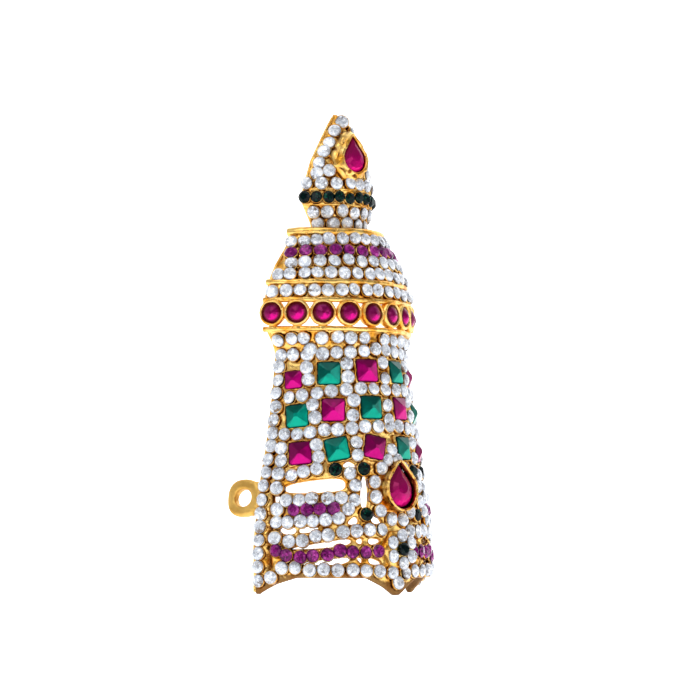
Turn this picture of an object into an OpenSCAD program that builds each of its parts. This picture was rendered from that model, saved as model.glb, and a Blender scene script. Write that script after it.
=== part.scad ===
// Half crown for a deity figure: a stone-set metal shell that covers the front half of a head.
// It stands upright on the two lower back corners and the front tip of its hem. The front faces
// -Y, the hollow side is open towards +Y, and lengths are in millimetres.

/* [Metal] */
// Thickness of the cast wall
wall_t = 1.1; // [0.8:0.1:1.4]
// Height that a rail stands out of the wall
rail_h = 0.5; // [0.2:0.1:0.8]
// Distance from the middle of the object's depth back to the plane of the two back edges
back_plane_y = 5.38; // [5:0.01:8]

/* [Ruby band] */
// Number of round rubies in the band
ruby_count = 10; // [6:2:12]
// Diameter of a round ruby
ruby_d = 3.5; // [3:0.1:3.7]
// Outer diameter of the round bezel that holds it
bezel_d = 4.4; // [4.2:0.1:4.6]
// Height of the middle of the band
band_z = 45.8; // [45.6:0.1:46]

/* [Square stones] */
// Side of a square stone
square_side = 3.8; // [3:0.1:4]
// Side of the smaller square stone at each end of the top row
small_square_side = 3.0; // [2.4:0.1:3.4]
// Height of a square stone from its base to its point
square_h = 1.3; // [1:0.1:1.8]

/* [Pear stones] */
// Width of the front pear stone
front_pear_w = 5.0; // [4.4:0.1:5.2]
// Height of the front pear stone from its round end to its point
front_pear_l = 7.0; // [6.4:0.1:7.2]
// Width of the finial's pear stone
finial_pear_w = 4.1; // [3.6:0.1:4.4]
// Height of the finial's pear stone
finial_pear_l = 6.0; // [5.4:0.1:6.4]
// Height that a pear bezel's rim stands out of the wall
pear_rim_h = 2.2; // [1.6:0.1:2.6]

/* [Tie loops] */
// Diameter of the hole in a tie loop
loop_hole_d = 2.9; // [2.4:0.1:3.4]
// Outer diameter of a tie loop
loop_d = 6.0; // [5.4:0.1:7]
// Thickness of a tie loop
loop_t = 1.6; // [1.2:0.1:2]
// Height of a tie loop's centre
loop_z = 16.0; // [10:0.1:25]

/* [Hidden] */
// The wall's outer face: its height, its half width at the back plane, its depth in front of it,
// and how far the wall has turned from facing forward at its back edge
wall_rows = [
    [0.0, 17.5, 15.4, 76],
    [8.0, 17.5, 14.9, 76],
    [16.0, 16.7, 14.1, 76],
    [24.0, 14.9, 13.3, 76],
    [32.0, 13.7, 12.3, 76],
    [36.0, 13.2, 11.6, 74],
    [39.5, 12.9, 10.9, 72],
    [41.6, 13.8, 10.6, 70],
    [43.0, 14.8, 10.7, 68],
    [45.6, 15.6, 11.0, 68],
    [48.0, 15.3, 10.7, 68],
    [50.0, 14.8, 10.2, 68],
    [52.0, 14.0, 9.5, 68],
    [54.0, 12.9, 8.8, 68],
    [56.0, 11.4, 8.0, 68],
    [58.0, 10.0, 7.1, 68],
    [60.4, 9.0, 6.4, 68],
];
// The same for the finial, from its narrow neck to its point
finial_rows = [
    [59.6, 5.0, 3.9, 68],
    [61.6, 5.5, 4.1, 68],
    [63.4, 6.6, 4.5, 68],
    [64.8, 7.4, 4.6, 68],
    [66.8, 7.1, 4.6, 68],
    [68.0, 6.7, 4.5, 68],
    [71.5, 5.5, 4.0, 70],
    [75.5, 3.2, 3.0, 76],
    [78.4, 1.4, 1.9, 80],
    [79.5, 0.6, 0.8, 80],
];
// The hem's lower edge: distance from the front tip along the wall, and height
hem_rows = [
    [0.0, 0.0],
    [0.7, 0.1],
    [2.7, 1.4],
    [5.7, 2.8],
    [17.4, 2.8],
    [20.9, 1.8],
    [23.5, 0.6],
    [25.0, 0.0],
];
// Openings in the skirt on each side: distances from the front line along the wall, and heights
window_rows = [
    [8.4, 18.3, 16.6, 18.8],
    [5.0, 6.2, 14.0, 18.8],
    [7.3, 8.4, 11.6, 13.0],
    [2.7, 5.0, 11.6, 13.0],
    [13.9, 16.6, 10.0, 10.9],
    [17.1, 19.5, 10.0, 10.9],
    [8.4, 12.5, 7.6, 8.8],
    [12.5, 16.6, 7.6, 8.4],
    [6.2, 7.3, 7.6, 8.8],
    [2.7, 5.0, 7.6, 8.8],
    [8.4, 15.3, 5.0, 6.0],
    [6.2, 7.3, 5.0, 6.0],
    [2.7, 5.0, 5.0, 6.0],
    [19.5, 20.5, 14.0, 15.3],
];
// Heights of the grid lines of the body with how far the wall stands out there
body_levels = [
    [3.4, 0], [5.0, 0], [6.0, 0], [7.6, 0], [8.4, 0], [8.8, 0], [10.0, 0], [10.9, 0], [11.6, 0],
    [13.0, 0], [14.0, 0], [15.3, 0], [16.6, 0], [18.8, 0], [21.4, 0], [24.0, 0], [28.0, 0],
    [32.0, 0], [36.0, 0], [39.5, 0], [41.6, 0],
    [42.5, 0], [42.8, rail_h], [43.7, rail_h], [43.9, 0],
];
dome_levels = [
    [47.6, rail_h], [48.3, rail_h], [48.6, 0], [50.4, 0], [50.7, rail_h], [51.3, rail_h], [51.6, 0],
    [53.0, 0], [54.5, 0], [56.0, 0], [57.5, 0], [59.2, 0], [59.5, rail_h], [60.3, rail_h],
];
finial_levels = [
    [59.9, 0], [61.6, 0], [63.4, 0], [64.3, 0], [64.5, rail_h / 2], [66.8, rail_h / 2], [67.0, 0],
    [69.0, 0], [71.5, 0], [73.5, 0], [75.5, 0], [77.5, 0], [79.5, 0],
];
// Grid lines of the skirt, as distances from the front line where the wall is skirt_half long
skirt_lines = [
    0, 1.3, 2.7, 4.0, 5.0, 6.2, 7.3, 8.4, 9.8, 11.2, 12.5, 13.9, 15.3, 16.6, 17.1, 18.3, 19.5,
    20.5, 22.4, 24.2,
];
skirt_half = 24.2;
dome_lines = 10;
finial_lines = 6;

// Turn of the wall where the tight front curve meets the flatter side
nose_turn = 36;
nose_rise = 1 - cos(nose_turn);
deg = 180 / PI;

// Square stones: height of each row's middle at the front, how far it drops at the back edge
square_rows = [
    [36.4, 2.7],
    [30.4, 2.6],
    [23.9, 1.9],
];
// Distance from the front line to the three columns of squares on each side
square_columns = [3.1, 9.3, 15.2];
square_names = ["top", "middle", "low"];
square_seat_h = 0.15;
square_seat_rim = 0.3;
seat_gap = 0.02;

ruby_pitch = 4.1;
ruby_h = 1.3;
ruby_girdle_h = 0.5;
ruby_flat_d = 0.5;
bezel_floor_h = -0.1;
bezel_rim_h = 0.75;
bezel_back_h = -0.9;
bezel_clearance = 0.06;

front_pear_z = 17.4;
finial_pear_z = 72.3;
// The finial's pear stands a little more upright than the wall behind it
finial_pear_lean = 6;
pear_back_h = -0.65;
// Thickness of each pear bezel's wall
front_pear_wall = 0.65;
finial_pear_wall = 0.75;
pear_floor_h = 0.9;
pear_girdle_h = 0.6;
pear_crown_h = 0.9;
pear_crown_scale = 0.45;

flower_z = 7.3;
flower_d = 6.2;
flower_h = 1.0;

// How far a tie loop's centre stands behind the back edge and below the wall's outer face, and
// the foot that joins it: its width, its bite into the wall and where it ends beside the hole
loop_out = 2.7;
loop_drop = 0.75;
loop_round = 0.3;
loop_foot_w = 1.3;
loop_foot_bite = 0.5;
loop_foot_end = 0.6;
loop_foot_inset = 0.15;

GOLD = [0.86, 0.62, 0.22];
PINK = [0.80, 0.05, 0.45];
GREEN = [0.05, 0.50, 0.38];
RUBY = [0.62, 0.03, 0.25];

function square_name(row, column) = str("square_gem_", square_names[row], "_", column);

// Half width, depth and turn at the back edge, of the wall at a height
function half_width(rows, z) = lookup(z, [for (r = rows) [r[0], r[1]]]);
function depth(rows, z) = lookup(z, [for (r = rows) [r[0], r[2]]]);
function edge_turn(rows, z) = lookup(z, [for (r = rows) [r[0], r[3]]]);

// Radii of the front curve and the side curve that give that half width and depth
function side_run(rows, z) = sin(edge_turn(rows, z)) - sin(nose_turn);
function side_rise(rows, z) = cos(nose_turn) - cos(edge_turn(rows, z));
function turn_det(rows, z) =
    sin(nose_turn) * side_rise(rows, z) - side_run(rows, z) * nose_rise;
function nose_r(rows, z) =
    (half_width(rows, z) * side_rise(rows, z) - depth(rows, z) * side_run(rows, z))
    / turn_det(rows, z);
function side_r(rows, z) =
    (depth(rows, z) * sin(nose_turn) - half_width(rows, z) * nose_rise) / turn_det(rows, z);
function nose_len(rows, z) = nose_r(rows, z) * nose_turn / deg;
function half_girth(rows, z) =
    nose_len(rows, z) + side_r(rows, z) * (edge_turn(rows, z) - nose_turn) / deg;

// How far the wall has turned from facing forward, at a distance along it from the front line
function wall_turn(rows, z, s) =
    abs(s) < nose_len(rows, z)
        ? s / nose_r(rows, z) * deg
        : sign(s) * (nose_turn + (abs(s) - nose_len(rows, z)) / side_r(rows, z) * deg);

// The point at that distance and height, h in front of the wall's outer face
function wall_point(rows, z, s, h) =
    let (turn = abs(wall_turn(rows, z, s)))
    let (in_nose = turn < nose_turn)
    let (nose = nose_r(rows, z))
    let (side = side_r(rows, z))
    let (x = in_nose ? nose * sin(turn)
        : nose * sin(nose_turn) + side * (sin(turn) - sin(nose_turn)))
    let (drop = in_nose ? nose * (1 - cos(turn))
        : nose * nose_rise + side * (cos(nose_turn) - cos(turn)))
    [sign(s) * (x + h * sin(turn)), drop - depth(rows, z) - h * cos(turn), z];

// Unit vectors of the wall's surface: across it, up it and out of it
function unit(v) = v / norm(v);
function wall_across(rows, z, s) =
    let (turn = wall_turn(rows, z, s)) [cos(turn), sin(turn), 0];
function wall_up(rows, z, s) =
    let (step = 0.6)
    let (share = s / half_girth(rows, z))
    let (above = wall_point(rows, z + step, share * half_girth(rows, z + step), 0))
    let (below = wall_point(rows, z - step, share * half_girth(rows, z - step), 0))
    let (rise = above - below)
    let (across = wall_across(rows, z, s))
    unit(rise - across * (rise * across));
function hem_z(s) = lookup(abs(s), hem_rows);

// Height of a row of squares at a distance from the front line
function row_z(row, s) = square_rows[row][0] - square_rows[row][1] * pow(s / 20, 2);
function square_s(column) = sign(column - 3.5) * square_columns[floor(abs(column - 3.5))];
function square_size(row, column) =
    row == 0 && (column == 1 || column == 6) ? small_square_side : square_side;
// Pink and green alternate along a row and from row to row
function square_is_pink(row, column) = (column + row) % 2 == 1;

// Puts what it holds on the wall, with X across, Y up and Z out of the metal
module on_wall(rows, z, s, h = 0) {
    a = wall_across(rows, z, s);
    u = wall_up(rows, z, s);
    n = cross(a, u);
    p = wall_point(rows, z, s, 0) + n * h;
    multmatrix([
        [a[0], u[0], n[0], p[0]],
        [a[1], u[1], n[1], p[1]],
        [a[2], u[2], n[2], p[2]],
        [0, 0, 0, 1],
    ]) children();
}

function in_window(c, z) =
    len([for (w = window_rows) if (c > w[0] && c < w[1] && z > w[2] && z < w[3]) 1]) > 0;

// A shell on a grid: levels are heights with how far the wall stands out, and lines are distances
// from the front line as shares of the half length
module grid_shell(rows, levels, shares, hemmed = false) {
    nl = len(levels);
    nc = len(shares);
    function s_at(i, j) = shares[j] * half_girth(rows, levels[i][0]);
    function z_at(i, j) = hemmed && i == 0 ? hem_z(s_at(0, j)) : levels[i][0];
    function inward(z) = min(wall_t, 0.55 * depth(rows, z));
    function outer(i, j) = wall_point(rows, z_at(i, j), s_at(i, j), levels[i][1]);
    function inner(i, j) = wall_point(rows, z_at(i, j), s_at(i, j), -inward(z_at(i, j)));
    function kept(i, j) =
        i >= 0 && j >= 0 && i < nl - 1 && j < nc - 1
        && !(hemmed && in_window(
            abs(shares[j] + shares[j + 1]) / 2 * skirt_half,
            (levels[i][0] + levels[i + 1][0]) / 2
        ));
    function at(i, j) = i * nc + j;
    under = nl * nc;
    points = concat(
        [for (i = [0 : nl - 1], j = [0 : nc - 1]) outer(i, j)],
        [for (i = [0 : nl - 1], j = [0 : nc - 1]) inner(i, j)]
    );
    // Two triangles for the side that runs from grid point a to grid point b
    function side(a, b) = [[a, b, b + under], [a, b + under, a + under]];
    faces = [
        for (i = [0 : nl - 2], j = [0 : nc - 2]) if (kept(i, j))
            each concat(
                [[at(i, j), at(i + 1, j), at(i + 1, j + 1)], [at(i, j), at(i + 1, j + 1), at(i, j + 1)]],
                [[at(i, j), at(i, j + 1), at(i + 1, j + 1)] + [under, under, under],
                    [at(i, j), at(i + 1, j + 1), at(i + 1, j)] + [under, under, under]],
                kept(i - 1, j) ? [] : side(at(i, j), at(i, j + 1)),
                kept(i + 1, j) ? [] : side(at(i + 1, j + 1), at(i + 1, j)),
                kept(i, j - 1) ? [] : side(at(i + 1, j), at(i, j)),
                kept(i, j + 1) ? [] : side(at(i, j + 1), at(i + 1, j + 1))
            )
    ];
    polyhedron(points, faces, convexity = 8);
}

function mirrored(shares) = concat([for (i = [len(shares) - 1 : -1 : 1]) -shares[i]], shares);
function even_shares(n) = [for (i = [0 : n]) i / n];

// The flat shelf that closes the dome's top round the finial's neck
module dome_shelf() {
    z = 60.1;
    steps = 10;
    reach = 0.96;
    across = [for (i = [-steps : steps]) reach * i / steps];
    function edge(rows, h) = [
        for (a = across) let (p = wall_point(rows, z, a * half_girth(rows, z), h)) [p[0], p[1]]
    ];
    function back_to_front(list) = [for (i = [len(list) - 1 : -1 : 0]) list[i]];
    shelf_t = 0.9;
    translate([0, 0, z - shelf_t])
        linear_extrude(shelf_t)
            polygon(concat(
                edge(wall_rows, -wall_t * 0.3),
                back_to_front(edge(finial_rows, -wall_t * 0.7))
            ));
}

// A teardrop: a round lower end and two straight sides that meet in a point, about its own middle
module pear_outline(width, length) {
    r = width / 2;
    tip = length - r;
    touch = acos(r / tip);
    arc = 18;
    drop = length / 2 - r;
    polygon(concat(
        [[0, tip - drop]],
        [for (i = [0 : arc])
            let (a = 90 + touch + i / arc * (360 - 2 * touch))
            [r * cos(a), r * sin(a) - drop]]
    ));
}

module pear_bezel(width, length, wall) {
    difference() {
        translate([0, 0, pear_back_h])
            linear_extrude(pear_rim_h - pear_back_h)
                pear_outline(width + 2 * wall, length + 2 * wall);
        translate([0, 0, pear_floor_h])
            linear_extrude(pear_rim_h)
                pear_outline(width + 2 * bezel_clearance, length + 3 * bezel_clearance);
    }
}

module ruby_bezel() {
    difference() {
        translate([0, 0, bezel_back_h])
            cylinder(d = bezel_d, h = bezel_rim_h - bezel_back_h, $fn = 18);
        translate([0, 0, bezel_floor_h])
            cylinder(d = ruby_d + 2 * bezel_clearance, h = bezel_rim_h * 2, $fn = 18);
    }
}

module square_seat(side) {
    back = -0.6;
    width = side + 2 * square_seat_rim;
    translate([-width / 2, -width / 2, back])
        cube([width, width, square_seat_h - back]);
}

// Everything soldered together except the tie loops
module metalwork() {
    grid_shell(wall_rows, concat([[0, 0]], body_levels), mirrored(skirt_lines / skirt_half), true);
    grid_shell(wall_rows, dome_levels, mirrored(even_shares(dome_lines)));
    grid_shell(finial_rows, finial_levels, mirrored(even_shares(finial_lines)));
    dome_shelf();
    for (i = [1 : ruby_count])
        on_wall(wall_rows, band_z, ruby_s(i)) ruby_bezel();
    for (row = [0 : 2], column = [1 : 6])
        on_wall(wall_rows, row_z(row, square_s(column)), square_s(column))
            square_seat(square_size(row, column));
    on_wall(wall_rows, front_pear_z, 0)
        pear_bezel(front_pear_w, front_pear_l, front_pear_wall);
    on_wall(finial_rows, finial_pear_z, 0)
        rotate([finial_pear_lean, 0, 0])
            pear_bezel(finial_pear_w, finial_pear_l, finial_pear_wall);
    on_wall(wall_rows, flower_z, 0)
        translate([0, 0, -0.6])
            cylinder(d1 = flower_d, d2 = flower_d - 1, h = flower_h + 0.6, $fn = 24);
}

function ruby_s(i) = (i - (ruby_count + 1) / 2) * ruby_pitch;

// A flat ring with rounded edges in the plane of the back edge, and the foot that joins it
module tie_loop(side) {
    ring_w = (loop_d - loop_hole_d) / 2;
    foot_len = loop_out + loop_foot_bite - loop_foot_end;
    edge_s = side * half_girth(wall_rows, loop_z);
    on_wall(wall_rows, loop_z, edge_s, -loop_drop)
        translate([side * loop_out, 0, 0]) {
            rotate_extrude($fn = 64)
                translate([loop_hole_d / 2, -loop_t / 2])
                    rounded_plate(ring_w, loop_t, loop_round);
            translate([
                side > 0 ? -loop_foot_end - foot_len : loop_foot_end,
                -loop_d / 2 + loop_foot_inset,
                -loop_t / 2 + loop_foot_inset,
            ])
                cube([foot_len, loop_foot_w, loop_t - 2 * loop_foot_inset]);
        }
}

module rounded_plate(width, height, r) {
    translate([r, 0]) square([width - 2 * r, height]);
    translate([0, r]) square([width, height - 2 * r]);
    for (x = [r, width - r], y = [r, height - r])
        translate([x, y]) circle(r, $fn = 32);
}

module crown_frame() {
    color(GOLD)
        translate([0, back_plane_y, 0])
            union() {
                resize([0, 0, 0]) metalwork();
                tie_loop(-1);
                tie_loop(1);
            }
}

module ruby(i) {
    color(RUBY)
        translate([0, back_plane_y, 0])
            on_wall(wall_rows, band_z, ruby_s(i), bezel_floor_h + seat_gap) {
                cylinder(d = ruby_d, h = ruby_girdle_h, $fn = 48);
                translate([0, 0, ruby_girdle_h])
                    cylinder(d1 = ruby_d, d2 = ruby_flat_d, h = ruby_h - ruby_girdle_h, $fn = 48);
            }
}

module square_gem(row, column) {
    side = square_size(row, column);
    girdle_h = 0.4;
    s = square_s(column);
    color(square_is_pink(row, column) ? PINK : GREEN)
        translate([0, back_plane_y, 0])
            on_wall(wall_rows, row_z(row, s), s, square_seat_h + seat_gap)
                pyramid(side, girdle_h, square_h);
}

// A square block whose top rises to a small flat
module pyramid(side, girdle_h, height) {
    a = side / 2;
    b = side / 14;
    function ring(r, z) = [[-r, -r, z], [r, -r, z], [r, r, z], [-r, r, z]];
    polyhedron(
        concat(ring(a, 0), ring(a, girdle_h), ring(b, height)),
        concat(
            [[0, 1, 2, 3], [11, 10, 9, 8]],
            [for (k = [0, 4], i = [0 : 3])
                [k + i, k + 4 + i, k + 4 + (i + 1) % 4, k + (i + 1) % 4]]
        )
    );
}

module pear_gem(rows, z, lean, width, length) {
    color(RUBY)
        translate([0, back_plane_y, 0])
            on_wall(rows, z, 0)
                rotate([lean, 0, 0])
                    translate([0, 0, pear_floor_h + seat_gap]) {
                        linear_extrude(pear_girdle_h) pear_outline(width, length);
                        translate([0, 0, pear_girdle_h])
                            linear_extrude(pear_crown_h, scale = pear_crown_scale)
                                pear_outline(width, length);
                    }
}

module pear_gem_front() {
    pear_gem(wall_rows, front_pear_z, 0, front_pear_w, front_pear_l);
}

module pear_gem_finial() {
    pear_gem(finial_rows, finial_pear_z, finial_pear_lean, finial_pear_w, finial_pear_l);
}

crown_frame();
for (i = [1 : ruby_count])
    ruby(i);
for (row = [0 : 2], column = [1 : 6])
    square_gem(row, column);
pear_gem_front();
pear_gem_finial();
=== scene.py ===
# %% [markdown]
# # A half crown for a small deity figure
# The real object is a cast metal shell that covers only the front half of a head. It is gold
# plated and paved with about four hundred small foil-backed stones. The solid model gives its size
# and its place, and this script dresses it. It loads that model first, as a fixed frame, because
# every piece below has to sit where the solids sit.

# %% Load the solid model
from math import cos, pi, radians, sin, tau

import bmesh
import bpy
import numpy as np
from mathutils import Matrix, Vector, geometry, noise


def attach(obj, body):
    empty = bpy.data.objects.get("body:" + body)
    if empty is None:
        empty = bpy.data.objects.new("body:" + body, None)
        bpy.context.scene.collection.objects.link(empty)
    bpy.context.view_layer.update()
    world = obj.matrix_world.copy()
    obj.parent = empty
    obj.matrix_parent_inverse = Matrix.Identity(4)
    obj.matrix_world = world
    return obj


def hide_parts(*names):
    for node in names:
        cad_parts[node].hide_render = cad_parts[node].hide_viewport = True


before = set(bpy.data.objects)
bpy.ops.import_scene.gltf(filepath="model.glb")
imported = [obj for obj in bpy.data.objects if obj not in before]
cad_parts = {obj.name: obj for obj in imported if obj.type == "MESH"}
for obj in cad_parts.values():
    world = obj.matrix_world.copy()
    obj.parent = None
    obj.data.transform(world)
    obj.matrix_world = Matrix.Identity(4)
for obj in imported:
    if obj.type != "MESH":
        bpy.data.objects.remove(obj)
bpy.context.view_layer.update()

MM = 0.001
print("solids loaded:", len(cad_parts))

# %% [markdown]
# ## The camera
# The camera comes first, so that every later step can be judged in the same view. It stands low,
# at the crown's left front, and looks slightly up, with a long lens. The aim is worked out from the
# crown's axis: a small yaw puts the axis left of the picture's middle.

# %% Camera
BACK_Y = 5.38
VIEW_TURN = radians(-42)
VIEW_DISTANCE = 480.0
VIEW_HEIGHT = 6.5
PICTURE = 700
FOCAL_PX = 2892.0
AXIS_PX = 334.0
HORIZON_PX = 555.0
SENSOR = 36


def show(name, data):
    """A new object in the scene."""
    made = bpy.data.objects.new(name, data)
    bpy.context.scene.collection.objects.link(made)
    return made


def add_camera():
    pitch = np.arctan((HORIZON_PX - PICTURE / 2) / FOCAL_PX)
    yaw = np.arctan((PICTURE / 2 - AXIS_PX) / FOCAL_PX)
    camera = show("camera", bpy.data.cameras.new("camera"))
    camera.rotation_euler = (pi / 2 + pitch, 0, VIEW_TURN - yaw)
    camera.location = Vector((sin(VIEW_TURN) * VIEW_DISTANCE, BACK_Y - cos(VIEW_TURN) * VIEW_DISTANCE,
                              VIEW_HEIGHT)) * MM
    camera.data.sensor_width = SENSOR
    camera.data.lens = FOCAL_PX / PICTURE * SENSOR
    camera.data.clip_start, camera.data.clip_end = 0.01, 20
    return camera


bpy.context.scene.camera = add_camera()
print("lens in mm:", round(bpy.context.scene.camera.data.lens, 1))

# %% [markdown]
# ## The wall, unrolled
# Nearly everything on the crown sits on one curved wall. It is easiest to chart on the flat: s runs
# along the wall from the front line, z is the height, and h stands out of the gold. Each level is
# two arcs, a tight one at the front and a flatter one at the side. Their radii follow from the half
# width and the depth in the tables, which are the solid model's own.

# %% The wall's shape
WALL_ROWS = (
    # height, half width, depth, turn of the back edge in degrees
    (0.0, 17.5, 15.4, 76), (8.0, 17.5, 14.9, 76), (16.0, 16.7, 14.1, 76), (24.0, 14.9, 13.3, 76),
    (32.0, 13.7, 12.3, 76), (36.0, 13.2, 11.6, 74), (39.5, 12.9, 10.9, 72), (41.6, 13.8, 10.6, 70),
    (43.0, 14.8, 10.7, 68), (45.6, 15.6, 11.0, 68), (48.0, 15.3, 10.7, 68), (50.0, 14.8, 10.2, 68),
    (52.0, 14.0, 9.5, 68), (54.0, 12.9, 8.8, 68), (56.0, 11.4, 8.0, 68), (58.0, 10.0, 7.1, 68),
    (60.4, 9.0, 6.4, 68),
)
FINIAL_ROWS = (
    # height, half width, depth, turn of the back edge in degrees
    (59.6, 5.0, 3.9, 68), (61.6, 5.5, 4.1, 68), (63.4, 6.6, 4.5, 68), (64.8, 7.4, 4.6, 68),
    (66.8, 7.1, 4.6, 68), (68.0, 6.7, 4.5, 68), (71.5, 5.5, 4.0, 70), (75.5, 3.2, 3.0, 76),
    (78.4, 1.4, 1.9, 80), (79.5, 0.6, 0.8, 80),
)
HEM_ROWS = (
    # distance from the front tip along the wall, height
    (0.0, 0.0), (0.7, 0.1), (2.7, 1.4), (5.7, 2.8), (17.4, 2.8), (20.9, 1.8), (23.3, 0.7),
    (24.2, 0.2), (24.6, 0.2), (25.1, 0.75),
)
WALL_T, FINIAL_T = 1.1, 0.95
NOSE = radians(36)


class Wall:
    """One shell of the crown, unrolled."""

    def __init__(self, rows, soften):
        self.rows = np.array(rows, float).T
        self.taps = np.linspace(-soften, soften, 5)

    def size(self, z):
        """Half width, depth and turn of the back edge at a height."""
        height, *columns = self.rows
        near = [np.asarray(z, float) + t for t in self.taps]
        half, deep, edge = (np.mean([np.interp(n, height, c) for n in near], axis=0) for c in columns)
        return half, deep, np.radians(edge)

    def radii(self, z):
        half, deep, edge = self.size(z)
        run, rise = np.sin(edge) - sin(NOSE), cos(NOSE) - np.cos(edge)
        det = sin(NOSE) * rise - run * (1 - cos(NOSE))
        return (half * rise - deep * run) / det, (deep * sin(NOSE) - half * (1 - cos(NOSE))) / det

    def reach(self, z):
        """Length of the wall from the front line to the back edge."""
        nose, side = self.radii(z)
        return nose * NOSE + side * (self.size(z)[2] - NOSE)

    def turn(self, s, z):
        nose, side = self.radii(z)
        s = np.asarray(s, float)
        past = np.abs(s) - nose * NOSE
        return np.sign(s) * np.where(past < 0, np.abs(s) / nose, NOSE + past / side)

    def at(self, s, z, h=0.0):
        """Points in metres."""
        s, z, h = np.broadcast_arrays(np.asarray(s, float), np.asarray(z, float), h)
        nose, side = self.radii(z)
        turn = np.abs(self.turn(s, z))
        tight, flat = np.minimum(turn, NOSE), np.maximum(turn, NOSE)
        x = nose * np.sin(tight) + side * (np.sin(flat) - sin(NOSE)) + h * np.sin(turn)
        back = nose * (1 - np.cos(tight)) + side * (cos(NOSE) - np.cos(flat))
        y = back - self.size(z)[1] - h * np.cos(turn) + BACK_Y
        return np.stack([np.sign(s) * x, y, z], axis=-1) * MM

    def axes(self, s, z):
        """Unit vectors across the wall, up it and out of it."""
        s, z = np.broadcast_arrays(np.asarray(s, float), np.asarray(z, float))
        turn, step = self.turn(s, z), 0.6
        across = np.stack([np.cos(turn), np.sin(turn), 0 * turn], axis=-1)
        share = s / self.reach(z)
        rise = (self.at(share * self.reach(z + step), z + step)
                - self.at(share * self.reach(z - step), z - step))
        up = rise - across * np.sum(rise * across, axis=-1, keepdims=True)
        up /= np.linalg.norm(up, axis=-1, keepdims=True)
        return across, up, np.cross(across, up)


def hem(s):
    return np.interp(np.abs(s), *np.array(HEM_ROWS).T)


wall = Wall(WALL_ROWS, 0.7)
finial = Wall(FINIAL_ROWS, 0.5)
print("wall length at the hem: %.1f mm" % (2 * wall.reach(0.0)))

# %% [markdown]
# ## One small language for nodes
# A finish and a geometry tree are both nets of nodes. `Net.node` adds any node: what kind it is,
# its settings, then what goes into its sockets. `Wire` is the result, and it knows Python's own
# operators, so `1 - mask` adds the Math node that the sum needs.

# %% Nets of nodes
class Wire:
    """The output of a node, with arithmetic."""

    def __init__(self, net, output):
        self.net, self.output = net, output

    def __add__(self, other):
        return self.net.maths("ADD", self, other)

    def __sub__(self, other):
        return self.net.maths("SUBTRACT", self, other)

    def __rsub__(self, other):
        return self.net.maths("SUBTRACT", other, self)

    def __mul__(self, other):
        return self.net.maths("MULTIPLY", self, other)

    __radd__, __rmul__ = __add__, __mul__


class Net:
    """A tree of nodes, filled by one method."""

    def __init__(self, tree):
        self.tree = tree

    def node(self, kind, settings=None, sockets=None, out=0):
        made = self.tree.nodes.new(kind)
        for name, value in (settings or {}).items():
            if name == "stops":
                ramp = made.color_ramp
                while len(ramp.elements) < len(value):
                    ramp.elements.new(1)
                for stop, (place, *colour) in zip(ramp.elements, value):
                    stop.position, stop.color = place, rgb(*colour)
            else:
                setattr(made, name, value)
        for name, value in (sockets or {}).items():
            if isinstance(value, Wire):
                self.tree.links.new(value.output, made.inputs[name])
            else:
                made.inputs[name].default_value = value
        return Wire(self, made.outputs[out]) if len(made.outputs) else None

    def maths(self, operation, *values):
        return self.node("ShaderNodeMath", {"operation": operation}, dict(enumerate(values)))

    def fade(self, value, low, high):
        """0 at low, 1 at high, smooth between them."""
        return self.node("ShaderNodeMapRange", {"interpolation_type": "SMOOTHSTEP"},
                         {"Value": value, "From Min": low, "From Max": high})

    def blend(self, share, first, second):
        """A colour between two colours."""
        return self.node("ShaderNodeMix", {"data_type": "RGBA"}, {0: share, 6: first, 7: second}, 2)

    def grain(self, scale, detail=2.0):
        """Noise that follows the object's own coordinates."""
        where = self.node("ShaderNodeTexCoord", None, None, "Object")
        return self.node("ShaderNodeTexNoise", None, {"Vector": where, "Scale": scale, "Detail": detail})

    def number(self, label):
        """A number that the mesh carries."""
        return self.node("ShaderNodeAttribute", {"attribute_name": label}, None, "Fac")


def rgb(red, green, blue):
    return (red, green, blue, 1.0)


def finish(name, paint):
    """A material whose principled shader gets what paint(net) returns."""
    material = bpy.data.materials.new(name)
    material.use_nodes = True
    material.node_tree.nodes.clear()
    net = Net(material.node_tree)
    shader = net.node("ShaderNodeBsdfPrincipled", None, paint(net))
    net.node("ShaderNodeOutputMaterial", None, {"Surface": shader})
    return material


print("node kinds come from one method")

# %% [markdown]
# ## Gold
# The metal is a rough casting, plated and tumbled, so it is bright but never flat: soft lumps
# a millimetre across, and a finer pitting. Its colour deepens towards orange in places, which
# a slow noise gives. Shade is painted into the colour too: where a mesh marks a place as lying in
# shade, between the stones and in grooves, the gold is painted orange and then dark brown. The
# wall's inner face is painted darker and duller, as painted shade, and the hem is worn brown. All
# of these follow the surface, so the shell carries them as attributes and the shader only mixes.

# %% Gold finishes
BRIGHT_GOLD = rgb(0.92, 0.61, 0.19)
DEEP_GOLD = rgb(0.76, 0.34, 0.035)
WEAR_AND_SHADE_BROWN = rgb(0.17, 0.08, 0.032)
CREVICE_SHADE_ORANGE = rgb(0.40, 0.13, 0.012)
SHADE_GOLD = rgb(0.075, 0.020, 0.005)
INNER_SHADE_GOLD = rgb(0.36, 0.23, 0.085)


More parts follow.
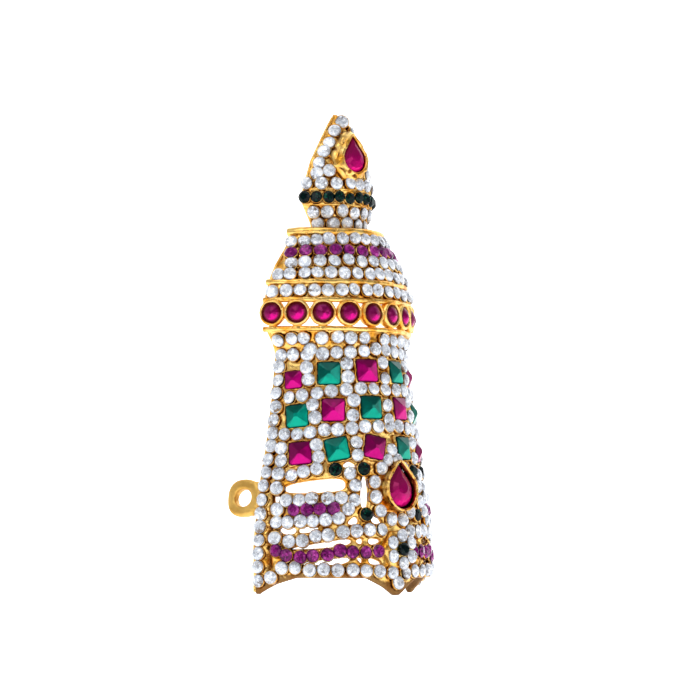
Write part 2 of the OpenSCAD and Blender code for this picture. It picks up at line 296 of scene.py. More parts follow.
def cast_gold(net):
    slow, fine = net.grain(420), net.grain(1900, 3)
    worn, inner, shade = (net.number(label) for label in ("worn", "inside", "shade"))
    colour = net.blend(net.fade(slow, 0.42, 0.66), BRIGHT_GOLD, DEEP_GOLD)
    # painted shade: the wall's inner face is painted darker and duller
    colour = net.blend(inner * 0.75, colour, INNER_SHADE_GOLD)
    # brown patches: real wear on the hem, and painted shade on the inner face, which carries a floor of
    # the same mark
    wear_and_shade_patches = net.fade(worn + (fine - 0.5) * 1.2 + (slow - 0.5) * 0.9, 0.35, 0.9)
    colour = net.blend(wear_and_shade_patches * 0.85, colour, WEAR_AND_SHADE_BROWN)
    # painted shade: where a place lies in shade, between stones and in grooves, the gold is painted
    # orange, then dark brown
    low = shade + (slow - 0.5) * 0.7
    colour = net.blend(net.fade(low, 0.16, 0.62) * 0.85, colour, CREVICE_SHADE_ORANGE)
    colour = net.blend(net.fade(low, 0.46, 0.92) * 0.95, colour, SHADE_GOLD)
    bump = net.node("ShaderNodeBump", None, {
        "Strength": 0.8, "Distance": 0.00030, "Height": slow * 0.65 + fine * 0.4})
    return {"Base Color": colour, "Metallic": 1.0, "Normal": bump,
            "Roughness": 0.22 + fine * 0.14 + wear_and_shade_patches * 0.3 + inner * 0.25}


def satin_gold(net):
    slow, fine = net.grain(300), net.grain(3200)
    bump = net.node("ShaderNodeBump", None, {
        "Strength": 0.8, "Distance": 0.00018, "Height": fine * 0.8 + slow})
    colour = net.blend(net.fade(slow, 0.35, 0.7), rgb(0.80, 0.50, 0.13), rgb(0.55, 0.30, 0.06))
    return {"Base Color": colour, "Metallic": 1.0, "Normal": bump, "Roughness": 0.26 + fine * 0.25}


gold = finish("cast gold", cast_gold)
satin = finish("satin gold", satin_gold)
print("gold finishes:", gold.name, "and", satin.name)

# %% [markdown]
# ## Stones
# A foil-backed stone is glass over a mirror. Through its table the eye sees a star of small
# triangles, some bright and some dark, and it throws the light from above out at its lower side.
# Real refraction would be slow and would be lost in an export, so the star is painted reflection:
# the stone's own flat map gives an angle and a radius, each sector gets its own random tone, the
# lower side is painted brighter as a painted highlight, and a painted shadow darkens the rim. The
# facets that catch the light are real faces.

# %% Stone finishes
def local_map(net):
    """The stone's own x and y, from -1 to 1."""
    flat = net.node("ShaderNodeUVMap", {"uv_map": "facets"})
    return [net.node("ShaderNodeSeparateXYZ", None, {0: flat}, axis) * 2 - 1 for axis in "XY"]


def crease(net, value):
    """1 on the lines where a value passes a whole number, 0 away from them."""
    return net.fade(net.maths("ABSOLUTE", net.maths("FRACT", value) - 0.5), 0.38, 0.5)


def star(net, x, y, tone, sectors=11, rings=3.1):
    """The star seen through the table: a random number for each facet, and the lines between."""
    radius = net.maths("SQRT", x * x + y * y)
    step = radius * rings + 0.35
    ring = net.maths("FLOOR", step)
    spoke = net.maths("ARCTAN2", y, x) * (sectors / tau) + ring * 0.5 + tone * sectors
    place = net.node("ShaderNodeCombineXYZ", None, {0: net.maths("FLOOR", spoke), 1: ring, 2: tone * 31})
    facet = net.node("ShaderNodeTexWhiteNoise", {"noise_dimensions": "3D"}, {"Vector": place})
    return radius, facet, net.maths("MAXIMUM", crease(net, spoke), crease(net, step))


def small_stone(stops, low_side_highlight, rim, metallic, coat, ior=1.4):
    """Stops are place, red, green and blue. The lower side is painted brighter, a painted highlight, and
    rim colours a painted shadow round the edge.
    """
    def paint(net):
        (x, y), tone = local_map(net), net.number("tone")
        radius, facet, line = star(net, x, y, tone)
        # painted light: each facet of the star is a painted reflection, the lines between are painted
        # dark, and the lower side gets a painted highlight
        level = facet * 0.8 + 0.14 - y * low_side_highlight + (tone - 0.5) * 0.15 - line * 0.30
        colour = net.node("ShaderNodeValToRGB", {"stops": stops}, {"Fac": level})
        # painted shadow: a dark ring round the edge, where the cup shades the stone
        colour = net.blend(net.fade(radius, 0.91, 1.01) * 0.9, colour, rgb(*rim))
        return {"Base Color": colour, "Metallic": metallic, "Roughness": 0.10, "IOR": ior,
                "Specular IOR Level": 0.4, "Coat Weight": coat, "Coat Roughness": 0.03}
    return paint


def large_stone(stops, edge, edge_shadow_top, low_facet_highlight, sink):
    """Painted light and shade: the light leaves a large stone at its lower side, so facets that look down
    and to the right, and the lower side, are painted brighter, its upper side is painted dull, and a
    painted shadow darkens its edge.
    """
    def paint(net):
        tone, side, rise = (net.number(label) for label in ("tone", "facet_up", "rise"))
        # painted highlight on the facets that look down, and on the stone's lower side
        low = net.fade(side * -1, 0.24, 0.42) * low_facet_highlight - local_map(net)[1] * sink
        cloud = net.grain(700)
        # painted light and shade: facets that look up and to the left are painted darker
        level = 0.46 - side * (0.95 - rise * 0.5) + low + (cloud - 0.5) * 0.8 + (tone - 0.5) * 0.4
        colour = net.node("ShaderNodeValToRGB", {"stops": stops}, {"Fac": level})
        # painted shadow: the stone's low corners, round its edge, take the dark edge colour
        colour = net.blend(net.fade(rise, edge_shadow_top - 0.2, edge_shadow_top), rgb(*edge), colour)
        return {"Base Color": colour, "Metallic": 0.30, "Roughness": 0.16, "IOR": 1.33,
                "Specular IOR Level": 0.2, "Coat Weight": 0.04, "Coat Roughness": 0.03}
    return paint


clear_glass = finish("clear stone", small_stone((
    (0.0, 0.20, 0.12, 0.06), (0.06, 0.26, 0.26, 0.28), (0.16, 0.47, 0.50, 0.55),
    (0.40, 0.53, 0.58, 0.67), (0.48, 0.70, 0.75, 0.83), (0.76, 0.78, 0.83, 0.89), (0.84, 1, 1, 1),
), 0.20, (0.12, 0.07, 0.04), 0.2, 0.1))
purple_glass = finish("purple stone", small_stone((
    (0.0, 0.03, 0.0, 0.025), (0.25, 0.11, 0.004, 0.075), (0.5, 0.19, 0.007, 0.14),
    (0.8, 0.31, 0.012, 0.22), (1.0, 0.50, 0.06, 0.36),
), 0.25, (0.04, 0.0, 0.02), 0.25, 0.06))
dark_glass = finish("dark green stone", small_stone((
    (0.0, 0.0, 0.002, 0.003), (0.6, 0.0, 0.005, 0.006), (0.85, 0.0, 0.022, 0.016),
    (1.0, 0.0, 0.07, 0.04),
), 0.1, (0.0, 0.003, 0.003), 0.1, 0.02, 1.25))
pink_glass = finish("pink square", large_stone((
    (0.05, 0.13, 0.003, 0.055), (0.36, 0.19, 0.0, 0.070), (0.62, 0.35, 0.0, 0.13),
    (0.95, 0.60, 0.0, 0.22)), (0.06, 0.0, 0.015), 0.50, 0.15, 0.2))
green_glass = finish("green square", large_stone((
    (0.05, 0.0, 0.070, 0.058), (0.36, 0.0, 0.10, 0.075), (0.62, 0.0, 0.20, 0.15),
    (0.95, 0.0, 0.38, 0.26)), (0.0, 0.015, 0.014), 0.50, 0.15, 0.2))
ruby_glass = finish("ruby", large_stone((
    (0.05, 0.20, 0.008, 0.085), (0.36, 0.17, 0.001, 0.055), (0.62, 0.27, 0.0, 0.10),
    (0.95, 0.68, 0.0, 0.24)), (0.09, 0.002, 0.010), 0.76, 0.35, 0.12))
pear_glass = finish("red pear", large_stone((
    (0.05, 0.24, 0.005, 0.07), (0.36, 0.27, 0.0, 0.08), (0.62, 0.44, 0.0, 0.13),
    (0.95, 0.76, 0.0, 0.22)), (0.08, 0.001, 0.012), 0.62, 0.25, 0.13))
print("stone finishes:", ", ".join(m.name for m in (
    clear_glass, purple_glass, dark_glass, pink_glass, green_glass, ruby_glass, pear_glass)))

# %% [markdown]
# ## From numbers to a mesh
# Every piece below ends as a plain mesh at the origin, in metres. `piece` makes one from points and
# faces, and stores numbers for its points, which a finish reads as attributes. `tower` joins rings
# of points that follow one another, and `spaced` finds even places along a path.

# %% Mesh helpers
def piece(name, points, faces, material, smooth=True, numbers=None):
    mesh = bpy.data.meshes.new(name)
    mesh.from_pydata([tuple(p) for p in points], [], [tuple(int(k) for k in f) for f in faces])
    mesh.materials.append(material)
    mesh.polygons.foreach_set("use_smooth", [smooth] * len(mesh.polygons))
    for label, values in (numbers or {}).items():
        kind = "FLOAT_VECTOR" if np.ndim(values) == 2 else "FLOAT"
        stored = mesh.attributes.new(label, kind, "POINT")
        stored.data.foreach_set("vector" if kind == "FLOAT_VECTOR" else "value",
                                np.asarray(values, np.float32).ravel())
    mesh.update()
    return show(name, mesh)


def places_of(made):
    co = np.zeros(len(made.data.vertices) * 3)
    made.data.vertices.foreach_get("co", co)
    return co.reshape(-1, 3)


def move_to(made, places):
    made.data.vertices.foreach_set("co", places.astype(np.float32).ravel())
    made.data.update()
    return made


def ring_points(radius, height, count, shift=0.0):
    return [(radius * cos((k + shift) * tau / count), radius * sin((k + shift) * tau / count), height)
            for k in range(count)]


def bridge(low, high, count):
    return [(low + k, low + (k + 1) % count, high + (k + 1) % count, high + k) for k in range(count)]


def tower(levels, count, start=0, closed=False, capped=False, flip=False):
    """Faces between rings of points that follow one another. Closed joins the last to the first."""
    faces = [face for level in range(levels if closed else levels - 1)
             for face in bridge(start + level * count, start + (level + 1) % levels * count, count)]
    if capped:
        top = start + (levels - 1) * count
        faces += [tuple(range(top, top + count)), tuple(range(start + count - 1, start - 1, -1))]
    return [face[::-1] for face in faces] if flip else faces


def lumps(points, size, seed):
    """Smooth noise between -1 and 1 at points in metres, for lumps of that size in mm."""
    away = Vector((seed * 7.3, seed * 3.1, seed * 5.7))
    return np.array([noise.noise(Vector(p) / (size * MM) + away) for p in points])


def smooth_step(value, low, high):
    t = np.clip((np.asarray(value, float) - low) / (high - low), 0, 1)
    return t * t * (3 - 2 * t)


def spaced(path, count=0, step=1.0, closed=False):
    """Even places along a path: so many, or one for each step. More columns than two go along."""
    path = np.array([*path, path[0]] if closed else path, float)
    run = np.concatenate([[0], np.cumsum(np.hypot(*np.diff(path[:, :2], axis=0).T))])
    where = np.linspace(0, run[-1], count or max(10, int(run[-1] / step)), endpoint=not closed)
    return np.column_stack([np.interp(where, run, column) for column in path.T])


def add_pieces(target, others):
    """Joins several pieces in one mesh, which is how a cast reads."""
    with bpy.context.temp_override(active_object=target, selected_editable_objects=[target, *others],
                                   object=target):
        bpy.ops.object.join()
    return target


def triangles(made):
    return sum(len(p.vertices) - 2 for p in made.data.polygons)


print("helpers ready")

# %% [markdown]
# ## Where each stone sits
# On the real crown a worker picks the small stones up one by one and presses them into the
# gold, in runs: along the rails, between the squares, down the edges. A run is a path on the
# unrolled wall and a number of stones spaced evenly along it, so the chart stays short. A little
# seeded disorder in the places keeps them from looking machine set. Most runs have a twin on the
# other half of the crown.

# %% The chart of runs
RUNS = {
    # for each carrier: stone, how many, twin, path as distance from the front line and height
    "dome": (
        ("clear", 13, False, ((-12.4, 57.5), (-6.3, 58.1), (0, 58.3), (6.3, 58.1), (12.4, 57.5))),
        ("purple", 12, False, ((-13.1, 55.6), (-6.2, 56.1), (0, 56.2), (6.2, 56.1), (13.1, 55.6))),
        ("clear", 12, False, ((-13.8, 53.8), (-6.8, 54.4), (0, 54.5), (6.8, 54.4), (12.4, 54.0))),
        ("clear", 16, False, ((-16.5, 51.9), (0, 52.4), (16.5, 51.9))),
        ("clear", 17, False, ((-17.9, 49.2), (0, 49.6), (17.9, 49.2))),
    ),
    "body": (
        ("clear", 3, False, ((-17.1, 41.7), (-12.9, 41.9))),
        ("clear", 1, False, ((-11.9, 40.2),)),
        ("clear", 4, False, ((-9.9, 41.8), (-2.9, 41.9))),
        ("clear", 8, False, ((0.9, 41.7), (17.2, 41.6))),
        ("clear", 8, True, ((1.1, 39.8), (5.6, 39.4), (10.1, 39.0), (16.7, 38.9))),
        ("clear", 15, False, ((-16.2, 31.9), (-11.7, 32.6), (-4.8, 33.3), (4.8, 33.3), (11.7, 32.6),
                              (16.2, 31.9))),
        ("clear", 17, False, ((-17.6, 25.7), (-10.8, 26.5), (-4.2, 27.2), (4.2, 27.2), (10.8, 26.5),
                              (17.6, 25.7))),
        ("clear", 2, True, ((12.7, 36.8), (12.8, 34.7))),
        ("clear", 2, True, ((12.6, 30.6), (12.3, 28.5))),
        ("clear", 2, True, ((12.5, 24.3), (12.4, 22.2))),
        ("clear", 2, True, ((6.3, 37.3), (6.4, 35.1))),
        ("clear", 2, True, ((5.9, 31.3), (6.2, 29.1))),
        ("clear", 2, True, ((6.1, 24.7), (6.2, 22.5))),
        ("clear", 2, False, ((0, 37.6), (0, 35.2))),
        ("clear", 2, False, ((0, 30.6), (0, 28.5))),
        ("clear", 1, False, ((0, 23.6),)),
        ("clear", 2, False, ((-0.95, 21.8), (1.2, 22.0))),
        ("clear", 2, True, ((18.2, 23.6), (18.7, 21.5))),
        ("clear", 4, True, ((19.2, 19.4), (17.2, 19.3), (15.1, 19.7), (12.9, 20.2))),
        ("dark", 1, True, ((9.8, 20.2),)),
        ("clear", 1, True, ((7.6, 19.5),)),
        ("dark", 1, True, ((5.4, 20.2),)),
        ("clear", 1, True, ((19.5, 17.3),)),
        ("clear", 1, False, ((9.3, 17.9),)),
        ("clear", 2, True, ((6.95, 17.5), (7.2, 15.3))),
        ("clear", 5, True, ((18.2, 15.2), (9.3, 15.7))),
        ("clear", 1, True, ((19.5, 13.6),)),
        ("purple", 4, True, ((17.0, 13.8), (10.7, 14.0))),
        ("clear", 1, True, ((8.5, 13.7),)),
        ("clear", 6, True, ((20.2, 11.7), (12.0, 12.0), (10.0, 12.3))),
        ("dark", 1, True, ((5.6, 13.0),)),
        ("clear", 5, False, ((-2.4, 20.3), (-3.75, 18.1), (-3.7, 15.8), (-2.9, 13.4), (-0.95, 12.2))),
        ("clear", 5, False, ((2.7, 20.6), (4.7, 18.1), (4.7, 15.6), (3.5, 13.3), (1.2, 12.2))),
        ("clear", 9, True, ((20.4, 9.1), (18.3, 8.8), (16.1, 8.8), (13.6, 9.6), (11.3, 9.7),
                            (9.1, 10.3), (3.0, 10.4))),
        ("purple", 9, True, ((20.5, 7.2), (18.6, 6.4), (16.4, 6.1), (13.9, 6.5), (11.8, 6.7),
                             (9.9, 7.4), (8.0, 7.0), (3.8, 7.1))),
        ("clear", 1, False, ((-0.3, 2.0),)),
        ("clear", 1, True, ((1.5, 3.6),)),
        ("clear", 8, True, ((3.8, 3.9), (10.2, 4.0), (19.5, 4.4))),
        ("clear", 1, True, ((21.4, 3.1),)),
    ),
    "finial": (
        ("clear", 4, True, ((0.9, 67.9), (7.8, 67.6))),
        ("dark", 5, True, ((0.95, 65.5), (8.35, 65.4))),
        ("clear", 7, False, ((-6.7, 63.1), (6.7, 63.1))),
        ("clear", 6, False, ((-5.5, 61.2), (5.5, 61.2))),
        ("clear", 1, True, ((4.1, 69.8),)),
    ),
}
EDGE_COLUMNS = {
    # for each carrier: how many, lowest, highest, inset from the back edge
    "body": (17, 2.4, 36.9, 1.3), "finial": (5, 69.4, 76.8, 2.0),
}
STONE_R = 1.11
DARK_FINIAL_R = 1.02
STRAY, SIZE_RANGE = 0.09, (0.95, 1.03)
CARRIERS = {"dome": wall, "body": wall, "finial": finial}
dice = np.random.default_rng(41)


def chart_stones():
    """Every small stone as carrier, kind, s, z and radius."""
    found = []
    for carrier, runs in RUNS.items():
        for kind, count, twin, path in runs:
            places = spaced(path, count)
            if twin:
                places = np.vstack([places * (-1, 1), places])
            size = DARK_FINIAL_R if (carrier, kind) == ("finial", "dark") else STONE_R
            found += [(carrier, kind, s, z, size) for s, z in places]
    for carrier, (count, low, high, inset) in EDGE_COLUMNS.items():
        for z in np.linspace(low, high, count):
            s = CARRIERS[carrier].reach(z) - inset
            found += [(carrier, "clear", side * s, z, STONE_R) for side in (-1, 1)]
    return [(carrier, kind, s + dice.normal(0, STRAY), z + dice.normal(0, STRAY),
             size * dice.uniform(*SIZE_RANGE)) for carrier, kind, s, z, size in found]


stones = chart_stones()
print("small stones:", {kind: sum(stone[1] == kind for stone in stones)
                        for kind in ("clear", "purple", "dark")})

# %% [markdown]
# ## The cast wall
# The wall is a pierced sheet of gold, a millimetre thick, with soft rounded edges. It could be
# carved from the solid with booleans, but those leave knife edges. Here the sheet is filled with
# triangles on the flat, inside its outline and round its windows. Then every point is lifted on to
# the wall. How far a point is from the nearest edge says how far it sinks, which rounds
# all the edges at once. Low lumps, and a shallow pit under each stone, make it a casting.

# %% Outlines and windows of the skirt
WINDOWS = (
    # corners of each window: distance from the front line, height
    ((18.9, 17.3), (17.2, 18.1), (12.5, 18.7), (8.4, 18.9), (8.3, 17.2), (10.3, 16.7), (17.8, 16.4)),
    ((5.5, 19.3), (4.5, 19.2), (4.7, 13.9), (6.2, 14.0)),
    ((8.6, 21.0), (7.5, 21.7), (6.3, 21.0), (6.7, 20.6), (8.3, 20.6)),
    ((4.2, 21.6), (3.6, 20.6), (4.4, 20.7)),
    ((8.9, 11.4), (6.5, 11.5), (7.0, 13.0)),
    ((4.5, 13.9), (2.3, 12.0), (2.4, 11.5), (4.4, 11.6)),
    ((20.2, 11.0), (17.0, 11.0), (17.1, 9.9), (19.3, 9.8)),
    ((16.6, 10.9), (13.3, 11.1), (13.5, 10.4), (16.5, 9.9)),
    ((18.4, 7.4), (17.9, 7.6), (12.2, 8.6), (8.0, 9.2), (8.2, 8.2), (12.7, 7.6)),
    ((7.6, 8.7), (6.1, 9.4), (6.2, 8.1)),
    ((5.2, 9.3), (2.6, 9.0), (3.2, 8.5), (5.0, 8.1)),
    ((18.2, 5.0), (12.5, 5.7), (8.0, 6.2), (9.1, 5.1), (12.8, 4.9)),
    ((7.4, 6.1), (6.3, 6.0), (6.5, 5.0)),
    ((5.3, 6.2), (2.9, 5.4), (2.9, 5.0), (5.1, 5.0)),
    ((20.2, 16.8), (19.3, 15.9), (20.2, 14.4), (20.6, 15.5)),
)
LEDGE_TOP = 43.5
RIGHT_SLOT_FROM = 11.3
EDGE_STEP = 0.4
WINDOW_STEP = 0.3


def rounded(loop, times=2):
    for _ in range(times):
        ahead = np.roll(loop, -1, axis=0)
        loop = np.stack([loop * 0.75 + ahead * 0.25, loop * 0.25 + ahead * 0.75], axis=1).reshape(-1, 2)
    return loop


def level_line(carrier, z):
    across = np.arange(0.3 - carrier.reach(z), carrier.reach(z), EDGE_STEP)
    return np.column_stack([across, across * 0 + z])


def hem_line(points=124):
    corner = wall.reach(0.0) - 0.05
    across = np.linspace(-corner, corner, points)
    return np.column_stack([across, hem(across)])


def outline(carrier, bottom, low, high):
    """Along the bottom, up the right edge, back along the top and down the left edge."""
    heights = np.arange(low, high + EDGE_STEP / 2, EDGE_STEP)
    edge = np.column_stack([carrier.reach(heights), heights])
    return np.vstack([bottom, edge, level_line(carrier, high) * (-1, 1), edge[::-1] * (-1, 1)])


windows = []
for number, corners in enumerate(WINDOWS):
    # the first window is a long slot, and its twin on the right is shorter
    shorter = np.maximum(corners, (0 if number else RIGHT_SLOT_FROM, 0))
    left, right = (spaced(rounded(np.array(shape)), step=WINDOW_STEP, closed=True)
                   for shape in (corners, shorter))
    windows += [left * (-1, 1), right[::-1]]
print("windows in the skirt:", len(windows))

# %% [markdown]
# The fill is a constrained Delaunay triangulation: Blender's own, in its maths library. It is
# given the loops as edges that it has to keep, and a staggered grid of points inside.

# %% Fill a flat outline
SHEET_STEP, ROW_STEP = 0.36, 0.36 * 0.87
GRID_GAP = SHEET_STEP * 0.75
RIM_STEP, RIM_GAP = 0.13, 0.09
CHUNK = 4000


def edge_distance(points, loops):
    best = np.full(len(points), 1e9)
    for start in loops:
        run = np.roll(start, -1, axis=0) - start
        length = np.sum(run * run, axis=1) + 1e-12
        for first in range(0, len(points), CHUNK):
            some = points[first:first + CHUNK, None, :] - start
            share = np.clip(np.sum(some * run, axis=2) / length, 0, 1)
            gap = np.hypot(*(some - run * share[..., None]).transpose(2, 0, 1))
            best[first:first + CHUNK] = np.minimum(best[first:first + CHUNK], gap.min(axis=1))
    return best


def inside(points, loop):
    (x, y), (x0, y0), (x1, y1) = points.T[:, :, None], loop.T, np.roll(loop, -1, axis=0).T
    crossing = ((y0 > y) != (y1 > y)) & (x < (x1 - x0) * (y - y0) / (y1 - y0 + 1e-12) + x0)
    return crossing.sum(axis=1) % 2 == 1


def on_sheet(points, loops):
    """Inside the first loop, and in none of the others."""
    return inside(points, loops[0]) & ~np.any([inside(points, hole) for hole in loops[1:]], axis=0)


def fill_sheet(*loops):
    """Flat points, triangles and each point's distance from the nearest edge."""
    low, high = loops[0].min(axis=0), loops[0].max(axis=0)
    rows = np.arange(low[1], high[1], ROW_STEP)
    free = np.array([(x + (k % 2) * SHEET_STEP / 2, y) for k, y in enumerate(rows)
                     for x in np.arange(low[0], high[0], SHEET_STEP)])
    free = [free[edge_distance(free, loops) > GRID_GAP]]
    points, edges = [], []
    for loop in loops:
        run = np.roll(loop, -1, axis=0) - np.roll(loop, 1, axis=0)
        side = run[:, ::-1] * (-1, 1) / np.hypot(*run.T)[:, None]
        free += [loop + side * RIM_STEP, loop - side * RIM_STEP]
        first, count = len(points), len(loop)
        points += [Vector(p) for p in loop]
        edges += [(first + k, first + (k + 1) % count) for k in range(count)]
    free = np.vstack(free)
    free = free[edge_distance(free, loops) > RIM_GAP]
    points += [Vector(p) for p in free[on_sheet(free, loops)]]
    filled = geometry.delaunay_2d_cdt(points, edges, [], 1, 1e-5)
    flat, faces = np.array([tuple(p) for p in filled[0]]), np.array(filled[2])
    return flat, faces[on_sheet(flat[faces].mean(axis=1), loops)], edge_distance(flat, loops)


sheets = {
    "body": fill_sheet(outline(wall, hem_line(), 1.0, LEDGE_TOP), *windows),
    "dome": fill_sheet(outline(wall, level_line(wall, 47.7), 47.7, 60.2)),
    "finial": fill_sheet(outline(finial, level_line(finial, 59.7), 59.7, 80.0)),
}
print({name: len(sheet[1]) for name, sheet in sheets.items()}, "triangles on the flat")

# %% [markdown]
# Lifting the sheet gives it two skins, an outer one and an inner one, and a strip that joins them
# round every loop. The relief says how far the outer skin stands out at each place.

# %% Lift the sheets on to the wall
RIM_R = 0.36
PIT_DEPTH = 0.22
RIDGE_H, RIDGE_AT, RIDGE_WIDTH = 0.26, 1.22, 0.13  # its place and width in radii of the stone
GROOVE_INWARD, GROOVE_DEPTH = 3.0, 0.7
STRIP_H, LEDGE_H, BELT_H = 0.22, 0.45, 0.12
LUMPS = (
    # height, size, seed
    (0.10, 1.5, 1), (0.05, 0.6, 2), (0.12, 4.0, 3),
)


def bell(value, middle, width):
    return np.exp(-((value - middle) / width) ** 2)


def band(value, start, full, fade, end):
    """0 outside start and end, 1 between full and fade."""
    return smooth_step(value, start, full) * smooth_step(-value, -end, -fade)


def relief(name, s, z, points):
    """How far the outer skin stands out, and how deep in shade it lies."""
    height = sum(high * lumps(points, size, seed) for high, size, seed in LUMPS)
    shade = np.zeros(len(s))
    if name == "body":
        inward = wall.reach(z) - np.abs(s)
        low_edge = band(z, 2.5, 4.0, 16.0, 18.0)
        shade = low_edge * bell(inward, GROOVE_INWARD, 0.3)
        height += low_edge * STRIP_H * smooth_step(-inward, -2.8, -2.5) - GROOVE_DEPTH * shade
        height += LEDGE_H * smooth_step(z, 42.4, 42.9)
    if name == "finial":
        height += BELT_H * band(z, 64.2, 64.5, 66.6, 66.9)
    ridge, pit = shade * 0, shade * 0
    for carrier_name, _, stone_s, stone_z, size in stones:
        if carrier_name == name:
            gap = np.hypot(s - stone_s, z - stone_z) / size
            ridge = np.maximum(ridge, bell(gap, RIDGE_AT, RIDGE_WIDTH))
            pit = np.maximum(pit, smooth_step(-gap, -1.0, -0.85))
            shade = np.maximum(shade, smooth_step(-gap, -1.17, -1.04))
    return (height + RIDGE_H * ridge) * (1 - pit) - PIT_DEPTH * pit, shade


def lift_sheet(name, thickness):
    carrier, (flat, faces, gap) = CARRIERS[name], sheets[name]
    s, z = flat.T
    sink = RIM_R - np.sqrt(RIM_R ** 2 - (RIM_R - np.minimum(gap, RIM_R)) ** 2)
    plain = carrier.at(s, z)
    out = carrier.axes(s, z)[2]
    height, shade = relief(name, s, z, plain)
    height *= smooth_step(gap, 0.0, 0.5)
    inner = -thickness + 0.10 * lumps(plain, 1.8, 4)
    outer_skin = plain + out * (height - sink)[:, None] * MM
    inner_skin = plain + out * (inner + sink * 0.9)[:, None] * MM
    count = len(flat)
    directed = {(a, b) for f in faces for a, b in zip(f, np.roll(f, -1))}
    rim = [(b, a, a + count, b + count) for a, b in directed if (b, a) not in directed]
    # the hem is worn, and more so at its corners and its front tip
    corner = np.maximum(smooth_step(np.abs(s), 18.0, 22.0), smooth_step(-np.abs(s), -3.0, -1.0))
    worn = (1 - smooth_step(z - hem(s), 0.5 + corner * 0.5, 1.3 + corner * 1.2)) * (name == "body")
    none = worn * 0
    # the inner skin gets a floor of the wear mark and a little shade: painted shade that darkens it all
    # over
    skins = {"worn": np.concatenate([worn, np.maximum(worn, 0.25)]),
             "inside": np.concatenate([none, none + 1]), "shade": np.concatenate([shade, none + 0.15])}
    return piece("wall_" + name, np.vstack([outer_skin, inner_skin]),
                 [*faces, *(f[::-1] + count for f in faces), *rim], gold, numbers=skins)


crown_shell = lift_sheet("body", WALL_T)
shell_parts = [lift_sheet("dome", WALL_T), lift_sheet("finial", FINIAL_T)]
print("wall triangles:", triangles(crown_shell) + sum(triangles(p) for p in shell_parts))

# %% [markdown]
# ## A grower of repeated shapes
# The stones, the bezels and the cups are all one shape set many times on a curved wall. A Geometry
# Nodes tree does that in one step. It takes points that know which way is out and which way is
# up, stands the shape on each, leans it a little at random and remembers one random number for
# each, for the finish to read.

# %% The tree that sets stones
def begin_tree(name, **inputs):
    """An empty tree with named inputs."""
    tree = bpy.data.node_groups.new(name, "GeometryNodeTree")
    for label, kind in (("Geometry", "Geometry"), *inputs.items()):
        tree.interface.new_socket(label, in_out="INPUT", socket_type="NodeSocket" + kind)
    tree.interface.new_socket("Geometry", in_out="OUTPUT", socket_type="NodeSocketGeometry")
    net = Net(tree)
    entry = net.node("NodeGroupInput").output.node
    return net, {socket.name: Wire(net, socket) for socket in entry.outputs if socket.name}


def end_tree(net, geometry, finish_used):
    """The last two nodes of a tree: its material, and the way out."""
    done = net.node("GeometryNodeSetMaterial", None, {"Geometry": geometry, "Material": finish_used})
    net.node("NodeGroupOutput", None, {"Geometry": done})
    return net.tree


def setting_tree():
    net, given = begin_tree("set on the wall", Shape="Object", Lean="Float", Spin="Float", Seed="Int",
                            Finish="Material")

    def named(label, kind="FLOAT"):
        return net.node("GeometryNodeInputNamedAttribute", {"data_type": kind}, {"Name": label})

    def random(low, high, number):
        return net.node("FunctionNodeRandomValue", {"data_type": "FLOAT"},
                        {2: low, 3: high, "Seed": given["Seed"] + number}, 1)

    shape = net.node("GeometryNodeObjectInfo", None, {"Object": given["Shape"]}, "Geometry")
    stand = net.node("FunctionNodeAlignRotationToVector", {"axis": "Z"},
                     {"Vector": named("out", "FLOAT_VECTOR")})
    stand = net.node("FunctionNodeAlignRotationToVector", {"axis": "Y", "pivot_axis": "Z"},
                     {"Rotation": stand, "Vector": named("up", "FLOAT_VECTOR")})
    lean, nod, spin = (random(given[by] * -1, given[by], number)
                       for number, by in enumerate(("Lean", "Lean", "Spin")))
    turn = net.node("ShaderNodeCombineXYZ", None, {0: lean, 1: nod, 2: spin + named("turn")})
    turn = net.node("FunctionNodeEulerToRotation", None, {0: turn})
    turned = net.node("FunctionNodeRotateRotation", {"rotation_space": "LOCAL"},
                      {"Rotation": stand, "Rotate By": turn})
    set_out = net.node("GeometryNodeInstanceOnPoints", None, {
        "Points": given["Geometry"], "Instance": shape, "Rotation": turned, "Scale": named("size")})
    toned = net.node("GeometryNodeStoreNamedAttribute", {"data_type": "FLOAT", "domain": "INSTANCE"},
                     {"Geometry": set_out, "Name": "tone", "Value": random(0.0, 1.0, 3)})
    real = net.node("GeometryNodeRealizeInstances", None, {"Geometry": toned})
    return end_tree(net, real, given["Finish"])


def grown(name, base, tree, values):
    """Runs a tree on a base mesh and keeps the result as a plain mesh."""
    grower = base.modifiers.new("grow", "NODES")
    grower.node_group = tree
    for socket in tree.interface.items_tree:
        if socket.in_out == "INPUT" and socket.name in values:
            grower[socket.identifier] = values[socket.name]
    bpy.context.view_layer.update()
    ready = bpy.context.evaluated_depsgraph_get()
    mesh = bpy.data.meshes.new_from_object(base.evaluated_get(ready), preserve_all_data_layers=True,
                                           depsgraph=ready)
    base.modifiers.remove(grower)
    bpy.data.objects.remove(base)
    mesh.name = name
    return show(name, mesh)


setting = setting_tree()
FINIAL_NOD = 0.35


